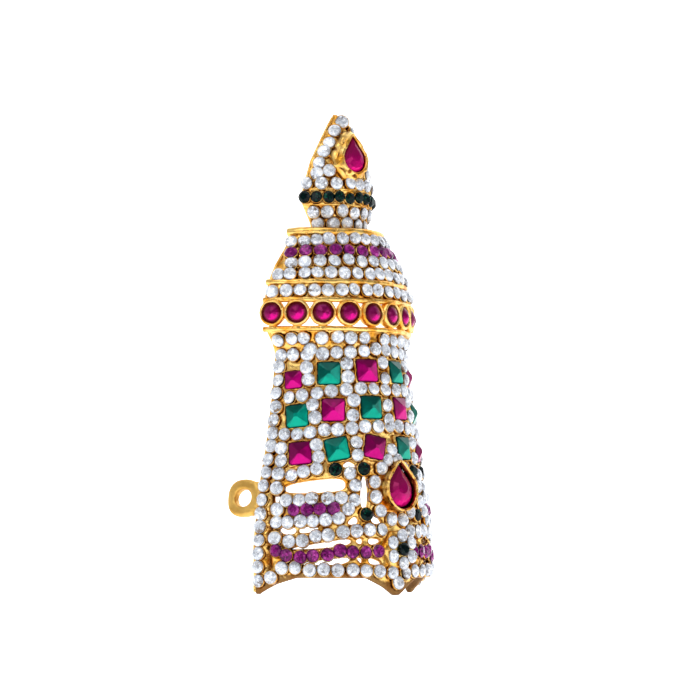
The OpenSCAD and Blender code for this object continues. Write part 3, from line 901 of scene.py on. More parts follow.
def set_shapes(name, places, shape, finish_used, lean=0.0, spin=0.0, seed=1, turns=0.0, face=None):
    """Sets a shape at each place: carrier, s, z, height and size. A face is its own out and up."""
    rows = []
    for (carrier, s, z, height, size), turn in zip(places, np.broadcast_to(turns, len(places))):
        _, up, out = CARRIERS[carrier].axes(s, z)
        if carrier == "finial":
            out = out * (1, 1, FINIAL_NOD)
            out = out / np.linalg.norm(out)
        out, up = face or (out, up)
        rows.append((CARRIERS[carrier].at(s, z) + out * height * MM, out, up, size * MM, turn))
    spots, outs, ups, sizes, turns = zip(*rows)
    base = piece("seats", spots, [], gold, numbers={
        "out": np.array(outs), "up": np.array(ups), "size": sizes, "turn": turns})
    return grown(name, base, setting, {
        "Shape": shape, "Lean": lean, "Spin": spin, "Seed": seed, "Finish": finish_used})


print("tree nodes:", len(setting.nodes))

# %% [markdown]
# ## The small round stones
# They are cut as brilliants: a flat table, a ring of crown facets, a thin girdle and a point below
# that the gold hides. The cut is a few dozen faces, because it is repeated four hundred times. Each
# leans its own way, as hand-set stones do, and that is what makes the paving sparkle.

# %% Brilliants
BRILLIANT_CUT = (
    # radius, height, corners on each side, shift: table, crown, girdle, girdle's foot, point
    (0.56, 0.44, 1, 0.0), (0.84, 0.25, 1, 0.5), (1.0, 0.02, 2, 0.0), (1.0, -0.10, 2, 0.0),
    (0.5, -0.5, 1, 0.0),
)


def gem(name, points, faces, material, sided=True):
    """A cut stone with its flat map, straight down on its own x and y. A sided one also stores how
    far each facet looks up and to the left, and how high each corner is."""
    made = piece(name, points, faces, material, smooth=False)
    mesh = made.data
    layer = mesh.uv_layers.new(name="facets")
    for loop in mesh.loops:
        x, y, _ = mesh.vertices[loop.vertex_index].co
        layer.data[loop.index].uv = (x / 2 + 0.5, y / 2 + 0.5)
    if sided:
        looks = [p.normal.y * 0.9 - p.normal.x * 0.45 for p in mesh.polygons]
        mesh.attributes.new("facet_up", "FLOAT", "FACE").data.foreach_set("value", looks)
        heights = places_of(made)[:, 2]
        rises = (heights - heights.min()) / np.ptp(heights)
        mesh.attributes.new("rise", "FLOAT", "POINT").data.foreach_set("value", rises)
    return made


def brilliant():
    sides = 8
    points = [p for radius, height, corners, shift in BRILLIANT_CUT
              for p in ring_points(radius, height, sides * corners, shift)]
    crown, top, low, tip = sides, sides * 2, sides * 4, sides * 6
    faces = [tuple(range(sides))]
    for k in range(sides):
        after, right, left = (k + 1) % sides, 2 * k + 1, (2 * k + 2) % (2 * sides)
        faces += [(crown + k, after, k), (crown + k, crown + after, after),
                  (top + 2 * k, top + right, crown + k), (top + right, top + left, crown + k),
                  (top + left, crown + after, crown + k), (low + 2 * k, low + right, tip + k),
                  (low + right, low + left, tip + after, tip + k)]
    faces += bridge(low, top, sides * 2)
    faces.append(tuple(range(tip + sides - 1, tip - 1, -1)))
    return gem("brilliant", points, faces, clear_glass, sided=False)


GIRDLE_H = 0.66
brilliant_shape = brilliant()
small_stones = {}
for kind, finish_used, seed in (("clear", clear_glass, 3), ("purple", purple_glass, 5),
                                ("dark", dark_glass, 7)):
    places = [(carrier, s, z, GIRDLE_H, size) for carrier, k, s, z, size in stones if k == kind]
    small_stones[kind] = set_shapes("small_stones_" + kind, places, brilliant_shape, finish_used,
                                    lean=0.19, spin=pi, seed=seed)
    print(kind, "stones:", len(places), "with", triangles(small_stones[kind]), "triangles")

# %% [markdown]
# ## The square stones
# Eighteen low pyramids, pink and green by turns like a chequerboard. On a pyramid the four faces
# read as four flat tones, so each face stores how far it looks up and to the left, and the finish
# paints its light and shade from that: brighter where it looks down, darker where it looks up and
# to the left. Each stone sits in a thin square frame of gold.

# %% Square stones and their frames
SQUARE_ROWS = (
    # name, height at the front, drop over a distance of 20
    ("top", 36.4, 2.7), ("middle", 30.4, 2.6), ("low", 23.9, 1.9),
)
SQUARE_COLUMNS = (-15.2, -9.3, -3.1, 3.1, 9.3, 15.2)
SQUARE_TURNS = {(0, 0): 0.08, (1, 0): 0.10, (2, 0): 0.08, (2, 1): 0.20, (2, 2): -0.20, (2, 4): 0.06}
SQUARE_SIDE, SMALL_SIDE = 3.8, 3.0
SEAT_H = 0.17
PYRAMID_CUT = (
    # half width, cut of the corners, height
    (0.5, 0.09, -0.03), (0.5, 0.09, 0.085), (0.455, 0.08, 0.135), (0.07, 0.0, 0.335),
)
FRAME_PROFILE = (
    # half width, height, shade
    (0.51, -0.05, 1.0), (0.515, 0.06, 1.0), (0.53, 0.085, 0.5), (0.555, 0.08, 0.0),
    (0.58, 0.02, 0.45), (0.60, -0.15, 1.0),
)


def pyramid_cut():
    points = []
    for half, cut, height in PYRAMID_CUT:
        short = half - cut
        points += [(x, y, height) for x, y in (
            (-short, -half), (short, -half), (half, -short), (half, short),
            (short, half), (-short, half), (-half, short), (-half, -short))]
    return gem("pyramid", points, tower(len(PYRAMID_CUT), 8, capped=True), pink_glass)


def square_frame():
    """A thin wavy frame. The foot of its inner side lies in shade."""
    steps, points, shades = 8, [], []
    for half, height, shade in FRAME_PROFILE:
        for k in range(4 * steps):
            side, step = divmod(k, steps)
            t = (step / steps - 0.5) * 2 * half
            wave = (0.018 * sin(k * 2.4) + 0.012 * sin(k * 5.1)) * (half > 0.512)
            x, y = ((t, -half - wave), (half + wave, t), (-t, half + wave), (-half - wave, -t))[side]
            blunt = 1 if step else 0.94
            points.append((x * blunt, y * blunt, height + 0.03 * sin(k * 1.7) * (shade < 0.9)))
            shades.append(shade)
    faces = tower(len(FRAME_PROFILE), 4 * steps, flip=True)
    return piece("frame", points, faces, gold, numbers={"shade": shades})


squares, turned, square_nodes = ({"pink": [], "green": []} for _ in range(3))
for row, (name, front_z, drop) in enumerate(SQUARE_ROWS):
    for column, s in enumerate(SQUARE_COLUMNS):
        side = SMALL_SIDE if row == 0 and column in (0, 5) else SQUARE_SIDE
        colour = ("pink", "green")[(row + column) % 2]
        squares[colour].append(("body", s, front_z - drop * (s / 20) ** 2, SEAT_H, side))
        turned[colour].append(SQUARE_TURNS.get((row, column), 0.0))
        square_nodes[colour].append(f"square_gem_{name}_{column + 1}")
pyramid_shape, frame_shape = pyramid_cut(), square_frame()
pink_squares, green_squares = (
    set_shapes("square_stones_" + colour, squares[colour], pyramid_shape, finish_used, seed=seed,
               turns=turned[colour])
    for colour, finish_used, seed in (("pink", pink_glass, 11), ("green", green_glass, 13)))
square_frames = set_shapes("square_frames", squares["pink"] + squares["green"], frame_shape, gold,
                           seed=17, turns=turned["pink"] + turned["green"])
print("squares:", len(squares["pink"]), "pink and", len(squares["green"]), "green")

# %% [markdown]
# ## The ruby band
# Ten round stones stand in a row of thick ring bezels. The rings touch one another and the rail
# above, and each stands on a short flared foot, so light comes through between them.

# %% Rubies and their ring bezels
RUBY_S = (-18.45, -14.35, -10.15, -5.85, -1.55, 2.7, 6.7, 10.6, 14.5, 18.45)
RUBY_Z, RUBY_R = 45.8, 1.75
CONE_CUT = (
    # radius, height
    (1.75, -0.08), (1.75, 0.40), (1.60, 0.52), (0.95, 0.92), (0.26, 1.20),
)
BEZEL_PROFILE = (
    # radius, height
    (1.60, -0.85), (1.66, -0.3), (1.68, 0.3), (1.71, 0.60), (1.82, 0.77), (1.98, 0.76),
    (2.12, 0.60), (2.2, 0.2), (2.18, -0.4), (2.0, -0.85),
)
BEZEL_FOOT = (
    # height on the wall, half width, half depth, how far it stands out
    (-1.75, 0.55, 0.45, 0.0), (-2.15, 0.75, 0.5, 0.05), (-2.7, 1.35, 0.5, 0.1),
)


def cone_cut():
    points = [p for radius, height in CONE_CUT for p in ring_points(radius / RUBY_R, height / RUBY_R, 16)]
    return gem("cone", points, tower(len(CONE_CUT), 16, capped=True), ruby_glass)


def ring_bezel():
    sides, foot_sides = 28, 10
    points = [(x + 0.03 * sin(3 * k), y + 0.03 * cos(5 * k), z) for radius, height in BEZEL_PROFILE
              for k, (x, y, z) in enumerate(ring_points(radius, height, sides))]
    floor = len(points)
    points += ring_points(1.8, -0.35, sides)
    foot = len(points)
    for z, half, deep, lift in BEZEL_FOOT:
        points += [(half * x, z, deep * y - 0.15 + lift) for x, y, _ in ring_points(1, 0, foot_sides)]
    faces = tower(len(BEZEL_PROFILE), sides, closed=True, flip=True) + [tuple(range(floor, foot))]
    return piece("ring bezel", points, faces + tower(len(BEZEL_FOOT), foot_sides, foot), gold)


cone_shape, bezel_shape = cone_cut(), ring_bezel()
rubies = set_shapes("rubies", [("body", s, RUBY_Z, 0.0, RUBY_R) for s in RUBY_S], cone_shape,
                    ruby_glass, lean=0.03, seed=19)
ruby_bezels = set_shapes("ruby_bezels", [("body", s, RUBY_Z, 0.0, 1.0) for s in RUBY_S], bezel_shape,
                         gold, seed=23)
print("rubies:", triangles(rubies), "triangles, bezels:", triangles(ruby_bezels))

# %% [markdown]
# ## Wires and rails
# Rails run round the crown above and below the rubies, round the dome's top and beside the green
# row. Thin wires finish the back edges. On the real casting they were wax wires laid on the model
# by hand, so they waver. A second tree sweeps a small round profile along a path on the wall, with
# noise that moves the path and changes its thickness.

# %% The tree that sweeps wires
WIRE_STEP = 0.4
WIRE_POINTS = 90


def sweeping_tree():
    net, given = begin_tree("sweep a wavy wire", Radius="Float", Wave="Float", Step="Float",
                            Seed="Float", Finish="Material")
    place = net.node("GeometryNodeInputPosition")

    def waver(seed, scale, out):
        return net.node("ShaderNodeTexNoise", {"noise_dimensions": "4D"},
                        {"Vector": place, "W": seed, "Scale": scale, "Detail": 1.0}, out)

    path = net.node("GeometryNodeMeshToCurve", None, {0: given["Geometry"]})
    path = net.node("GeometryNodeResampleCurve", {"mode": "LENGTH"},
                    {"Curve": path, "Length": given["Step"]})
    drift = net.node("ShaderNodeVectorMath", {"operation": "SUBTRACT"},
                     {0: waver(given["Seed"], 300.0, "Color"), 1: (0.5,) * 3})
    drift = net.node("ShaderNodeVectorMath", {"operation": "SCALE"}, {0: drift, "Scale": given["Wave"]})
    path = net.node("GeometryNodeSetPosition", None, {"Geometry": path, "Offset": drift})
    swell = waver(given["Seed"] + 5.0, 480.0, 0) * 0.9 + 0.55
    path = net.node("GeometryNodeSetCurveRadius", None, {"Curve": path, "Radius": swell})
    section = net.node("GeometryNodeCurvePrimitiveCircle", None,
                       {"Resolution": 9, "Radius": given["Radius"]})
    swept = net.node("GeometryNodeCurveToMesh", None,
                     {"Curve": path, "Profile Curve": section, "Fill Caps": True})
    soft = net.node("GeometryNodeSetShadeSmooth", None, {"Geometry": swept})
    return end_tree(net, soft, given["Finish"])


sweeping = sweeping_tree()
WIRES = (
    # carrier, height, radius, how far it stands out, wave, how far it passes the back edge
    ("body", 43.20, 0.44, 0.40, 0.40, 0.25),
    ("dome", 47.95, 0.50, 0.15, 0.45, 0.0),
    ("dome", 50.95, 0.52, 0.22, 0.60, 0.15),
    ("dome", 53.25, 0.18, 0.00, 0.55, -0.3),
    ("dome", 59.50, 0.74, 0.15, 0.50, 0.55),
    ("finial", 66.80, 0.20, 0.18, 0.50, -0.2),
    ("finial", 64.25, 0.22, 0.15, 0.45, -0.2),
)
EDGES = (
    # carrier, low, high, radius, inset from the back edge, wave
    ("body", 0.6, 43.0, 0.32, 0.22, 0.18),
    ("dome", 48.4, 59.4, 0.34, 0.30, 0.18),
    ("finial", 60.2, 79.3, 0.30, 0.28, 0.15),
)


def wire(name, points, radius, wave, seed):
    path = bpy.data.meshes.new("path")
    path.from_pydata([tuple(p) for p in points], [(k, k + 1) for k in range(len(points) - 1)], [])
    return grown(name, show("path", path), sweeping, {
        "Radius": radius * MM, "Wave": wave * MM, "Step": WIRE_STEP * MM, "Seed": seed, "Finish": gold})


rails = []
for k, (name, z, radius, out_by, wave, past) in enumerate(WIRES):
    reach = float(CARRIERS[name].reach(z)) + past
    places = CARRIERS[name].at(np.linspace(-reach, reach, WIRE_POINTS), z, out_by)
    rails.append(wire("rail", places, radius, wave, 3.0 * k))
for k, (name, low, high, radius, inset, wave) in enumerate(EDGES):
    z = np.linspace(low, high, WIRE_POINTS)
    for side in (-1, 1):
        places = CARRIERS[name].at(side * (CARRIERS[name].reach(z) - inset), z, -0.15)
        rails.append(wire("edge", places, radius, wave, 40.0 + 3 * k + side))
wires = add_pieces(rails[0], rails[1:])
print("wires:", len(rails), "with", triangles(wires), "triangles")

# %% [markdown]
# ## Cups
# Each small stone sits in a low cup with a rim that the worker pressed over the girdle. Seen from
# the front it is only a thin bright line, but without it the stones would float.

# %% Cups round the small stones
CUP_PROFILE = (
    # radius, height, shade
    (1.13, -0.30, 1.0), (1.09, 0.30, 0.6), (1.055, 0.49, 0.1), (1.0, 0.50, 0.3), (0.94, 0.2, 1.0),
)


def cup():
    sides = 12
    points = [(x * (1 + 0.025 * sin(2.3 * k)), y * (1 + 0.025 * cos(1.7 * k)), z + 0.03 * sin(4.1 * k))
              for radius, height, _ in CUP_PROFILE
              for k, (x, y, z) in enumerate(ring_points(radius, height, sides))]
    return piece("cup", points, tower(len(CUP_PROFILE), sides, closed=True), gold,
                 numbers={"shade": np.repeat([shade for _, _, shade in CUP_PROFILE], sides)})


cup_shape = cup()
cups = set_shapes("stone_cups", [(carrier, s, z, 0.0, size) for carrier, _, s, z, size in stones],
                  cup_shape, gold, lean=0.10, spin=pi, seed=29)
print("cups:", len(stones), "with", triangles(cups), "triangles")

# %% [markdown]
# ## The two pears
# One red pear hangs on the finial, the other at the front of the skirt. The stone is cut with a
# small table and long side facets. The lower bezel is a wire of uneven thickness on a sloping
# wall. The upper one is a thick lump of gold, pushed about while soft. Both are one closed loop of
# the same outline, swept with a short profile, and noise does the pushing.

# %% Pear stones and bezels
PEAR_FLOOR = 0.92
PEARS = {
    # carrier, distance from the front line, height, lean away at the top, width, length
    "finial": ("finial", -0.3, 72.5, radians(6), 4.3, 6.0),
    "front": ("body", 0.80, 17.6, 0.0, 5.3, 6.6),
}
PEAR_CUT = {
    # share of the outline, height, from the foot to the table
    "finial": ((1.0, -0.3), (1.0, 0.55), (0.80, 1.05), (0.45, 1.32)),
    "front": ((1.06, -0.6), (1.06, 0.15), (0.80, 0.62), (0.42, 0.95)),
}
BEZEL_PROFILES = {
    # away from the stone's edge, height, shade
    "front": (
        (0.05, 0.45, 1.0), (0.30, 0.60, 1.0), (0.42, 1.2, 0.9), (0.48, 1.65, 0.3), (0.56, 1.88, 0.0),
        (0.70, 1.96, 0.0), (0.84, 1.90, 0.0), (0.93, 1.68, 0.0), (0.91, 1.42, 0.15),
        (0.84, 1.2, 0.35), (0.84, 0.8, 0.25), (0.9, 0.2, 0.35), (1.0, -0.5, 0.6)),
    "finial": (
        (0.03, 0.80, 1.0), (0.04, 1.5, 0.8), (0.10, 1.9, 0.1), (0.28, 2.05, 0.0), (0.50, 1.95, 0.0),
        (0.68, 1.6, 0.0), (0.82, 1.2, 0.0), (0.97, 0.8, 0.1), (1.2, 0.4, 0.2), (1.5, -0.3, 0.35)),
}


def pear_loop(width, length, count):
    r = width / 2
    tip, drop = length - r, length / 2 - r
    touch = np.arccos(r / tip)
    turn = pi / 2 + touch + np.linspace(0, tau - 2 * touch, 60)
    arc = np.column_stack([r * np.cos(turn), r * np.sin(turn) - drop])
    return spaced([(0, tip - drop), *arc], count, closed=True)


def stand_on_wall(made, carrier_name, s, z, turn=0.0, lean=0.0):
    """Moves a shape from its own x, y, z in mm to its place on the wall in metres."""
    carrier = CARRIERS[carrier_name]
    across, up, out = carrier.axes(s, z)
    x, y, h = places_of(made).T[:, :, None]
    x, y = x * cos(turn) - y * sin(turn), x * sin(turn) + y * cos(turn)
    y, h = y * cos(lean) - h * sin(lean), y * sin(lean) + h * cos(lean)
    return move_to(made, carrier.at(s, z) + (x * across + y * up + h * out) * MM)


def pear_stone(name):
    carrier, s, z, lean, wide, long = PEARS[name]
    count = 16
    points = [(x, y, PEAR_FLOOR + height) for share, height in PEAR_CUT[name]
              for x, y in pear_loop(wide * share, long * share, count)]
    made = gem("pear_stone_" + name, points, tower(len(PEAR_CUT[name]), count, capped=True), pear_glass)
    return stand_on_wall(made, carrier, s, z, lean=lean)


def pear_bezel(name, push, fold, seed):
    """A closed band round the stone. Noise pushes its outer side about by up to push."""
    carrier, s, z, lean, wide, long = PEARS[name]
    count, rows = 96, 30
    loop = pear_loop(wide, long, count)
    run = np.roll(loop, -3, axis=0) - np.roll(loop, 3, axis=0)
    side = run[:, ::-1] * (1, -1) / np.hypot(*run.T)[:, None]
    away, height, shade = np.repeat(spaced(BEZEL_PROFILES[name], rows), count, axis=0).T
    outward = np.column_stack([np.tile(side, (rows, 1)), np.zeros(rows * count)])
    points = np.column_stack([np.tile(loop, (rows, 1)), height]) + outward * away[:, None]
    loose = smooth_step(away, 0.1, 0.45)
    folds = 1 - 2.4 * np.abs(lumps(points * MM * (1, 0.6, 1), fold, seed))
    shove = push * loose * (lumps(points * MM, 1.3, seed + 1) + folds
                            + 0.3 * lumps(points * MM, fold * 0.5, seed + 2))
    points = points + outward * shove[:, None]
    points[:, 2] += 0.7 * push * loose * lumps(points * MM, fold, seed + 3)
    # painted shade in the folds of the pushed gold
    fold_shade = 0.8 * loose * smooth_step(-folds, -0.35, 0.15)
    made = piece("pear_bezel_" + name, points, [*tower(rows, count, flip=True), tuple(range(count))],
                 gold, numbers={"shade": np.maximum(shade, fold_shade)})
    stand_on_wall(made, carrier, s, z, lean=lean)
    wall_there = CARRIERS[carrier].at(s + points[:, 0], z + points[:, 1], points[:, 2] * 0.35 - 0.35)
    drape = smooth_step(-height, -0.45, 0.0)[:, None]
    return move_to(made, places_of(made) * (1 - drape) + wall_there * drape)


pear_stones = {name: pear_stone(name) for name in PEARS}
pear_bezels = [pear_bezel("front", 0.07, 0.55, 31), pear_bezel("finial", 0.22, 0.9, 37)]
print("pears:", [triangles(p) for p in pear_stones.values()],
      "bezels:", [triangles(p) for p in pear_bezels])

# %% [markdown]
# ## The flower and its leaves
# Under the front pear a flower of six stones stands on a raised boss, with a dark stone in its
# middle, and two small leaves of plain gold fill the gap above it.

# %% Flower boss, leaves and petals
FLOWER_S, FLOWER_Z, PETAL_RING = 0.35, 7.3, 2.2
BOSS_TOP, LOBE = 1.3, 0.06
BOSS_PROFILE = (
    # radius, height
    (1.2, 1.2), (2.2, 1.0), (2.9, 0.75), (3.2, 0.35), (3.3, -0.5),
)
PETAL_H, HEART_H = 1.4, 1.68
LEAF_HALF, LEAF_LONG, LEAF_RIDGE = 0.62, 2.9, 0.75
LEAF_S, LEAF_Z, LEAF_TURN = 1.75, 11.35, 0.95


def boss():
    sides, points = 48, [(0, 0, BOSS_TOP)]
    lobes = [1 + LOBE * cos(6 * k * tau / sides) for k in range(sides)]
    for radius, height in BOSS_PROFILE:
        points += [(x * lobe, y * lobe, z)
                   for lobe, (x, y, z) in zip(lobes, ring_points(radius, height, sides))]
    faces = [(0, 1 + k, 1 + (k + 1) % sides) for k in range(sides)]
    faces += tower(len(BOSS_PROFILE), sides, 1, flip=True)
    return stand_on_wall(piece("flower_boss", points, faces, gold), "body", FLOWER_S, FLOWER_Z)


def leaf(s, z, turn):
    points, steps = [], 9
    for t in np.linspace(0, 1, steps):
        half, ridge = LEAF_HALF * sin(pi * t) ** 0.7 + 0.02, LEAF_RIDGE * sin(pi * t) ** 0.6
        y = (t - 0.5) * LEAF_LONG
        points += [(-half, y, -0.2), (-half * 0.55, y, ridge * 0.75), (0, y, ridge * 0.55 + 0.1),
                   (half * 0.55, y, ridge * 0.75), (half, y, -0.2)]
    faces = [(k * 5 + j, k * 5 + j + 1, k * 5 + j + 6, k * 5 + j + 5)
             for k in range(steps - 1) for j in range(4)]
    return stand_on_wall(piece("leaf", points, faces, gold), "body", s, z, turn)


flower = boss()
add_pieces(flower, [leaf(side * LEAF_S, LEAF_Z, side * LEAF_TURN) for side in (-1, 1)])
PETALS = [("body", FLOWER_S + PETAL_RING * sin(k * tau / 6), FLOWER_Z + PETAL_RING * cos(k * tau / 6),
           PETAL_H, STONE_R) for k in range(6)]
petals = set_shapes("flower_petals", PETALS, brilliant_shape, clear_glass, lean=0.14, spin=pi, seed=43)
heart = set_shapes("flower_heart", [("body", FLOWER_S, FLOWER_Z, HEART_H, STONE_R)],
                   brilliant_shape, dark_glass, spin=pi, seed=47)
print("petals:", len(PETALS))

# %% [markdown]
# ## The stone at the tip
# One stone closes the finial. The tip is too narrow to carry it flat, so it is pressed on crooked
# and looks out to the left, away from the wall behind it.

# %% Tip stone
TIP_TURN, TIP_LEAN = radians(-34), radians(12)
TIP_S, TIP_Z, TIP_R = 0.2, 78.5, STONE_R * 1.04
TIP_STONE_H, TIP_CUP_H = 0.35, -0.15
tip_out = np.array((sin(TIP_TURN) * cos(TIP_LEAN), -cos(TIP_TURN) * cos(TIP_LEAN), sin(TIP_LEAN)))
tip_up = np.array((0.0, 0.0, 1.0)) - tip_out * tip_out[2]
tip_face = (tip_out, tip_up / np.linalg.norm(tip_up))
tip_stone = set_shapes("tip_stone", [("finial", TIP_S, TIP_Z, TIP_STONE_H, TIP_R)], brilliant_shape,
                       clear_glass, spin=pi, seed=53, face=tip_face)
tip_cup = set_shapes("tip_cup", [("finial", TIP_S, TIP_Z, TIP_CUP_H, TIP_R)], cup_shape, gold,
                     seed=59, face=tip_face)
print("tip stone:", triangles(tip_stone), "triangles")

# %% [markdown]
# ## Tie loops
# A cord through these two rings ties the crown on. They are plain, filed and left satin. A ring and
# its foot are blended as wax would be: the two rough shapes are joined, rebuilt as one skin of
# small voxels, and smoothed.

# %% Rings with a blended foot
LOOP = {"out": 2.95, "drop": 0.75, "hole_r": 1.62, "outer_r": 3.1, "half_thick": 0.78, "z": 15.8}
LOOP_SECTION = (
    # share of the way from the hole to the outer edge, share of the half thickness
    (0, 0.75), (0.08, 0.95), (0.30, 1.0), (0.72, 1.0), (0.92, 0.88), (1.0, 0.5),
)
FOOT_ENDS = (3.4, 1.6)
FOOT_CORNERS = (
    # height, distance from the middle of its thickness
    (-2.9, -0.55), (2.7, -0.55), (2.7, 0.55), (-2.9, 0.55),
)
FOOT_SIDES = ((0, 1, 2, 3), (4, 7, 6, 5), (0, 4, 5, 1), (1, 5, 6, 2), (2, 6, 7, 3), (3, 7, 4, 0))
SQUARENESS = 2.5
SKIN_VOXEL, SOFTNESS, SOFT_TIMES = 0.16, 0.6, 6


def loop_ring(side):
    """A ring, square outside and round inside, and a block for its foot."""
    steps, points = 40, []
    section = LOOP_SECTION + tuple((share, -height) for share, height in reversed(LOOP_SECTION))
    for a in np.arange(steps) * tau / steps:
        square = (abs(cos(a)) ** SQUARENESS + abs(sin(a)) ** SQUARENESS) ** (-1 / SQUARENESS)
        hole = LOOP["hole_r"] * (1 - 0.12 * sin(a) ** 2)
        for share, height in section:
            r = hole + (LOOP["outer_r"] * square - hole) * share
            points.append((r * cos(a), r * sin(a), height * LOOP["half_thick"]))
    foot = len(points)
    points += [(-side * x, y, h) for x in FOOT_ENDS for y, h in FOOT_CORNERS]
    faces = tower(steps, len(section), closed=True) + [tuple(foot + k for k in f) for f in FOOT_SIDES]
    return piece("loop", points, faces, satin)


def tie_loop(side):
    rough = loop_ring(side)
    mend = bmesh.new()
    mend.from_mesh(rough.data)
    bmesh.ops.recalc_face_normals(mend, faces=mend.faces)
    mend.to_mesh(rough.data)
    mend.free()
    skin = rough.modifiers.new("skin", "REMESH")
    skin.mode, skin.voxel_size = "VOXEL", SKIN_VOXEL
    soft = rough.modifiers.new("soft", "SMOOTH")
    soft.factor, soft.iterations = SOFTNESS, SOFT_TIMES
    ready = bpy.context.evaluated_depsgraph_get()
    mesh = bpy.data.meshes.new_from_object(rough.evaluated_get(ready), depsgraph=ready)
    bpy.data.objects.remove(rough)
    mesh.materials.clear()
    mesh.materials.append(satin)
    mesh.polygons.foreach_set("use_smooth", [True] * len(mesh.polygons))
    made = show("tie_loop_" + ("left" if side < 0 else "right"), mesh)
    edge = side * float(wall.reach(LOOP["z"]))
    across, up, out = wall.axes(edge, LOOP["z"])
    centre = wall.at(edge, LOOP["z"]) + (across * side * LOOP["out"] - out * LOOP["drop"]) * MM
    local = places_of(made)
    local = local * (1 + 0.012 * lumps(local * MM, 2.2, 51 + side))[:, None]
    return move_to(made, centre + (local[:, :1] * across + local[:, 1:2] * up + local[:, 2:] * out) * MM)


loops = [tie_loop(-1), tie_loop(1)]
print("tie loops:", [triangles(loop) for loop in loops], "triangles")

# %% [markdown]
# ## The shelf round the finial's neck
# A flat shelf closes the dome and carries the finial. It follows both outlines.

# %% Shelf
SHELF_TOP, SHELF_THICK = 60.05, 0.9
SHELF_REACH, DOME_INSET, NECK_INSET = 0.985, 0.1, 0.75
SHELF_POINTS = 60


def shelf():
    share = np.linspace(-1, 1, SHELF_POINTS) * SHELF_REACH
    outer_edge = wall.at(share * wall.reach(SHELF_TOP), SHELF_TOP, -DOME_INSET)
    inner_edge = finial.at(share * finial.reach(SHELF_TOP), SHELF_TOP, -NECK_INSET)
    middle, low = (outer_edge + inner_edge) / 2, np.array((0, 0, -SHELF_THICK * MM))
    rows = (outer_edge, middle, inner_edge, inner_edge + low, middle + low, outer_edge + low)
    points = np.vstack(rows)
    points[:, 2] += 0.06 * MM * lumps(points, 1.6, 61)
    starts = [level * SHELF_POINTS for level in range(len(rows))]
    faces = [(a + k, a + k + 1, b + k + 1, b + k) for a, b in zip(starts, starts[1:] + starts[:1])
             for k in range(SHELF_POINTS - 1)]
    ends = [tuple(starts), tuple(start + SHELF_POINTS - 1 for start in reversed(starts))]
    return piece("shelf", points, faces + ends, gold)


shelf_piece = shelf()
print("shelf:", triangles(shelf_piece), "triangles")

# %% [markdown]
# ## Light, floor and backdrop
# A jeweller's picture is taken in a tent of light: white all round, with a few darker gaps that draw
# the edges of the metal. Five soft lamps stand round the crown, the world is a dim grey so that the
# gold has something darker to show, and one white sheet is both floor and backdrop.

# %% Stage and lamps
SHEET_HALF, SHEET_TOP = 1.2, 1.2
BEND_FROM, BEND_R = 0.12, 0.25
FLOOR_FROM, FLOOR_HALF, NARROW_FROM = -2.5, 2.5, -0.75
MIDDLE = Vector((0, 0, 0.04))
LAMPS = (
    # name, turn from the view, rise, distance, size, power
    ("key", -0.55, 0.75, 0.55, 0.30, 0.75),
    ("fill", 0.9, 0.30, 0.6, 0.22, 0.38),
    ("top", 0.0, 1.45, 0.5, 0.3, 0.45),
    ("back", pi - 0.4, 0.6, 0.55, 0.4, 0.8),
    ("side", -1.5, 0.5, 0.6, 0.5, 0.33),
)


def sweep_sheet():
    """Floor, bend and wall in one sheet, square to the view."""
    profile = [(FLOOR_FROM, 0.0, FLOOR_HALF), (NARROW_FROM, 0.0, SHEET_HALF),
               (BEND_FROM, 0.0, SHEET_HALF)]
    profile += [(BEND_FROM + BEND_R * sin(a), BEND_R * (1 - cos(a)), SHEET_HALF)
                for a in np.linspace(0.15, pi / 2, 12)]
    profile.append((BEND_FROM + BEND_R, SHEET_TOP, SHEET_HALF))
    across, ahead = (cos(VIEW_TURN), sin(VIEW_TURN)), (-sin(VIEW_TURN), cos(VIEW_TURN))
    points = [(ahead[0] * run + across[0] * side, ahead[1] * run + across[1] * side, height)
              for run, height, half in profile for side in (-half, half)]
    faces = [(2 * k, 2 * k + 1, 2 * k + 3, 2 * k + 2) for k in range(len(profile) - 1)]
    return piece("backdrop", points, faces, paper)


def white_paper(net):
    """Paper that is clear when seen from behind, so that the crown's back can be looked at too."""
    from_behind = net.node("ShaderNodeNewGeometry", None, None, "Backfacing")
    return {"Base Color": net.blend(net.grain(40, 3), rgb(0.93, 0.93, 0.93), rgb(0.97, 0.97, 0.97)),
            "Roughness": 0.9, "Alpha": 1 - from_behind, "Emission Color": rgb(1, 1, 1),
            "Emission Strength": 0.75}


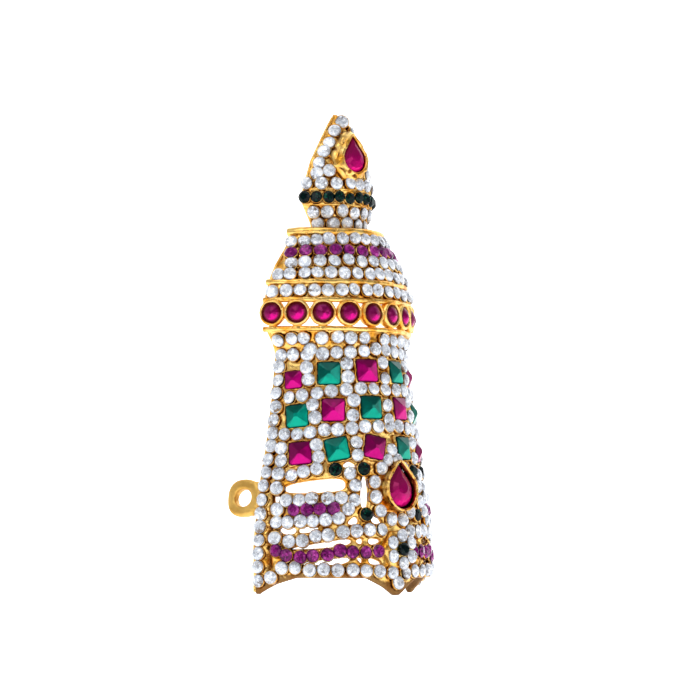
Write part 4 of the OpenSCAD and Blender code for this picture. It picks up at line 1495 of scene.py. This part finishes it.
def lamp(name, turn, rise, distance, size, power):
    """A soft square lamp that looks at the crown's middle."""
    made = show(name, bpy.data.lights.new(name, "AREA"))
    made.data.size, made.data.energy = size, power
    turn += VIEW_TURN
    at = Vector((sin(turn) * cos(rise), -cos(turn) * cos(rise), sin(rise))) * distance
    made.location = MIDDLE + at
    made.rotation_euler = (-at).to_track_quat("-Z", "Y").to_euler()


paper = finish("white paper", white_paper)
backdrop = sweep_sheet()
for row in LAMPS:
    lamp(*row)
world = bpy.data.worlds.new("studio")
world.use_nodes = True
world.node_tree.nodes["Background"].inputs["Color"].default_value = rgb(0.26, 0.26, 0.27)
bpy.context.scene.world = world
bpy.context.scene.view_settings.view_transform = "Standard"

# %% [markdown]
# ## Pieces on the crown's body
# Each piece rides on the crown's one body, and the solids that it stands for are hidden. The shapes
# that served as patterns are thrown away.

# %% Pieces on the body
for pattern in (brilliant_shape, pyramid_shape, frame_shape, cone_shape, bezel_shape, cup_shape):
    bpy.data.objects.remove(pattern)
add_pieces(crown_shell, [*shell_parts, shelf_piece])
crown_shell.name = "crown_shell"
wires.name = "rails_and_wires"
add_pieces(flower, pear_bezels)
flower.name = "flower_and_pear_bezels"
add_pieces(small_stones["clear"], [petals, tip_stone])
add_pieces(cups, [tip_cup])
add_pieces(small_stones["dark"], [heart])

HANDED = (
    # piece, slot, solids it stands for
    *((made, "gold_metal", ["crown_frame"])
      for made in (crown_shell, square_frames, ruby_bezels, wires, cups, flower, *loops)),
    (pear_stones["finial"], "ruby_glass", ["pear_gem_finial"]),
    (pear_stones["front"], "ruby_glass", ["pear_gem_front"]),
    (small_stones["clear"], "clear_glass", ["crown_frame"]),
    (small_stones["purple"], "purple_glass", ["crown_frame"]),
    (small_stones["dark"], "dark_green_glass", ["crown_frame"]),
    (rubies, "ruby_glass", [f"ruby_{k + 1}" for k in range(len(RUBY_S))]),
    (pink_squares, "pink_glass", square_nodes["pink"]),
    (green_squares, "green_glass", square_nodes["green"]),
)
for made, slot, nodes in HANDED:
    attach(made, "root")
    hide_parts(*nodes)
print("triangles in all:", sum(triangles(made) for made, _, _ in HANDED))
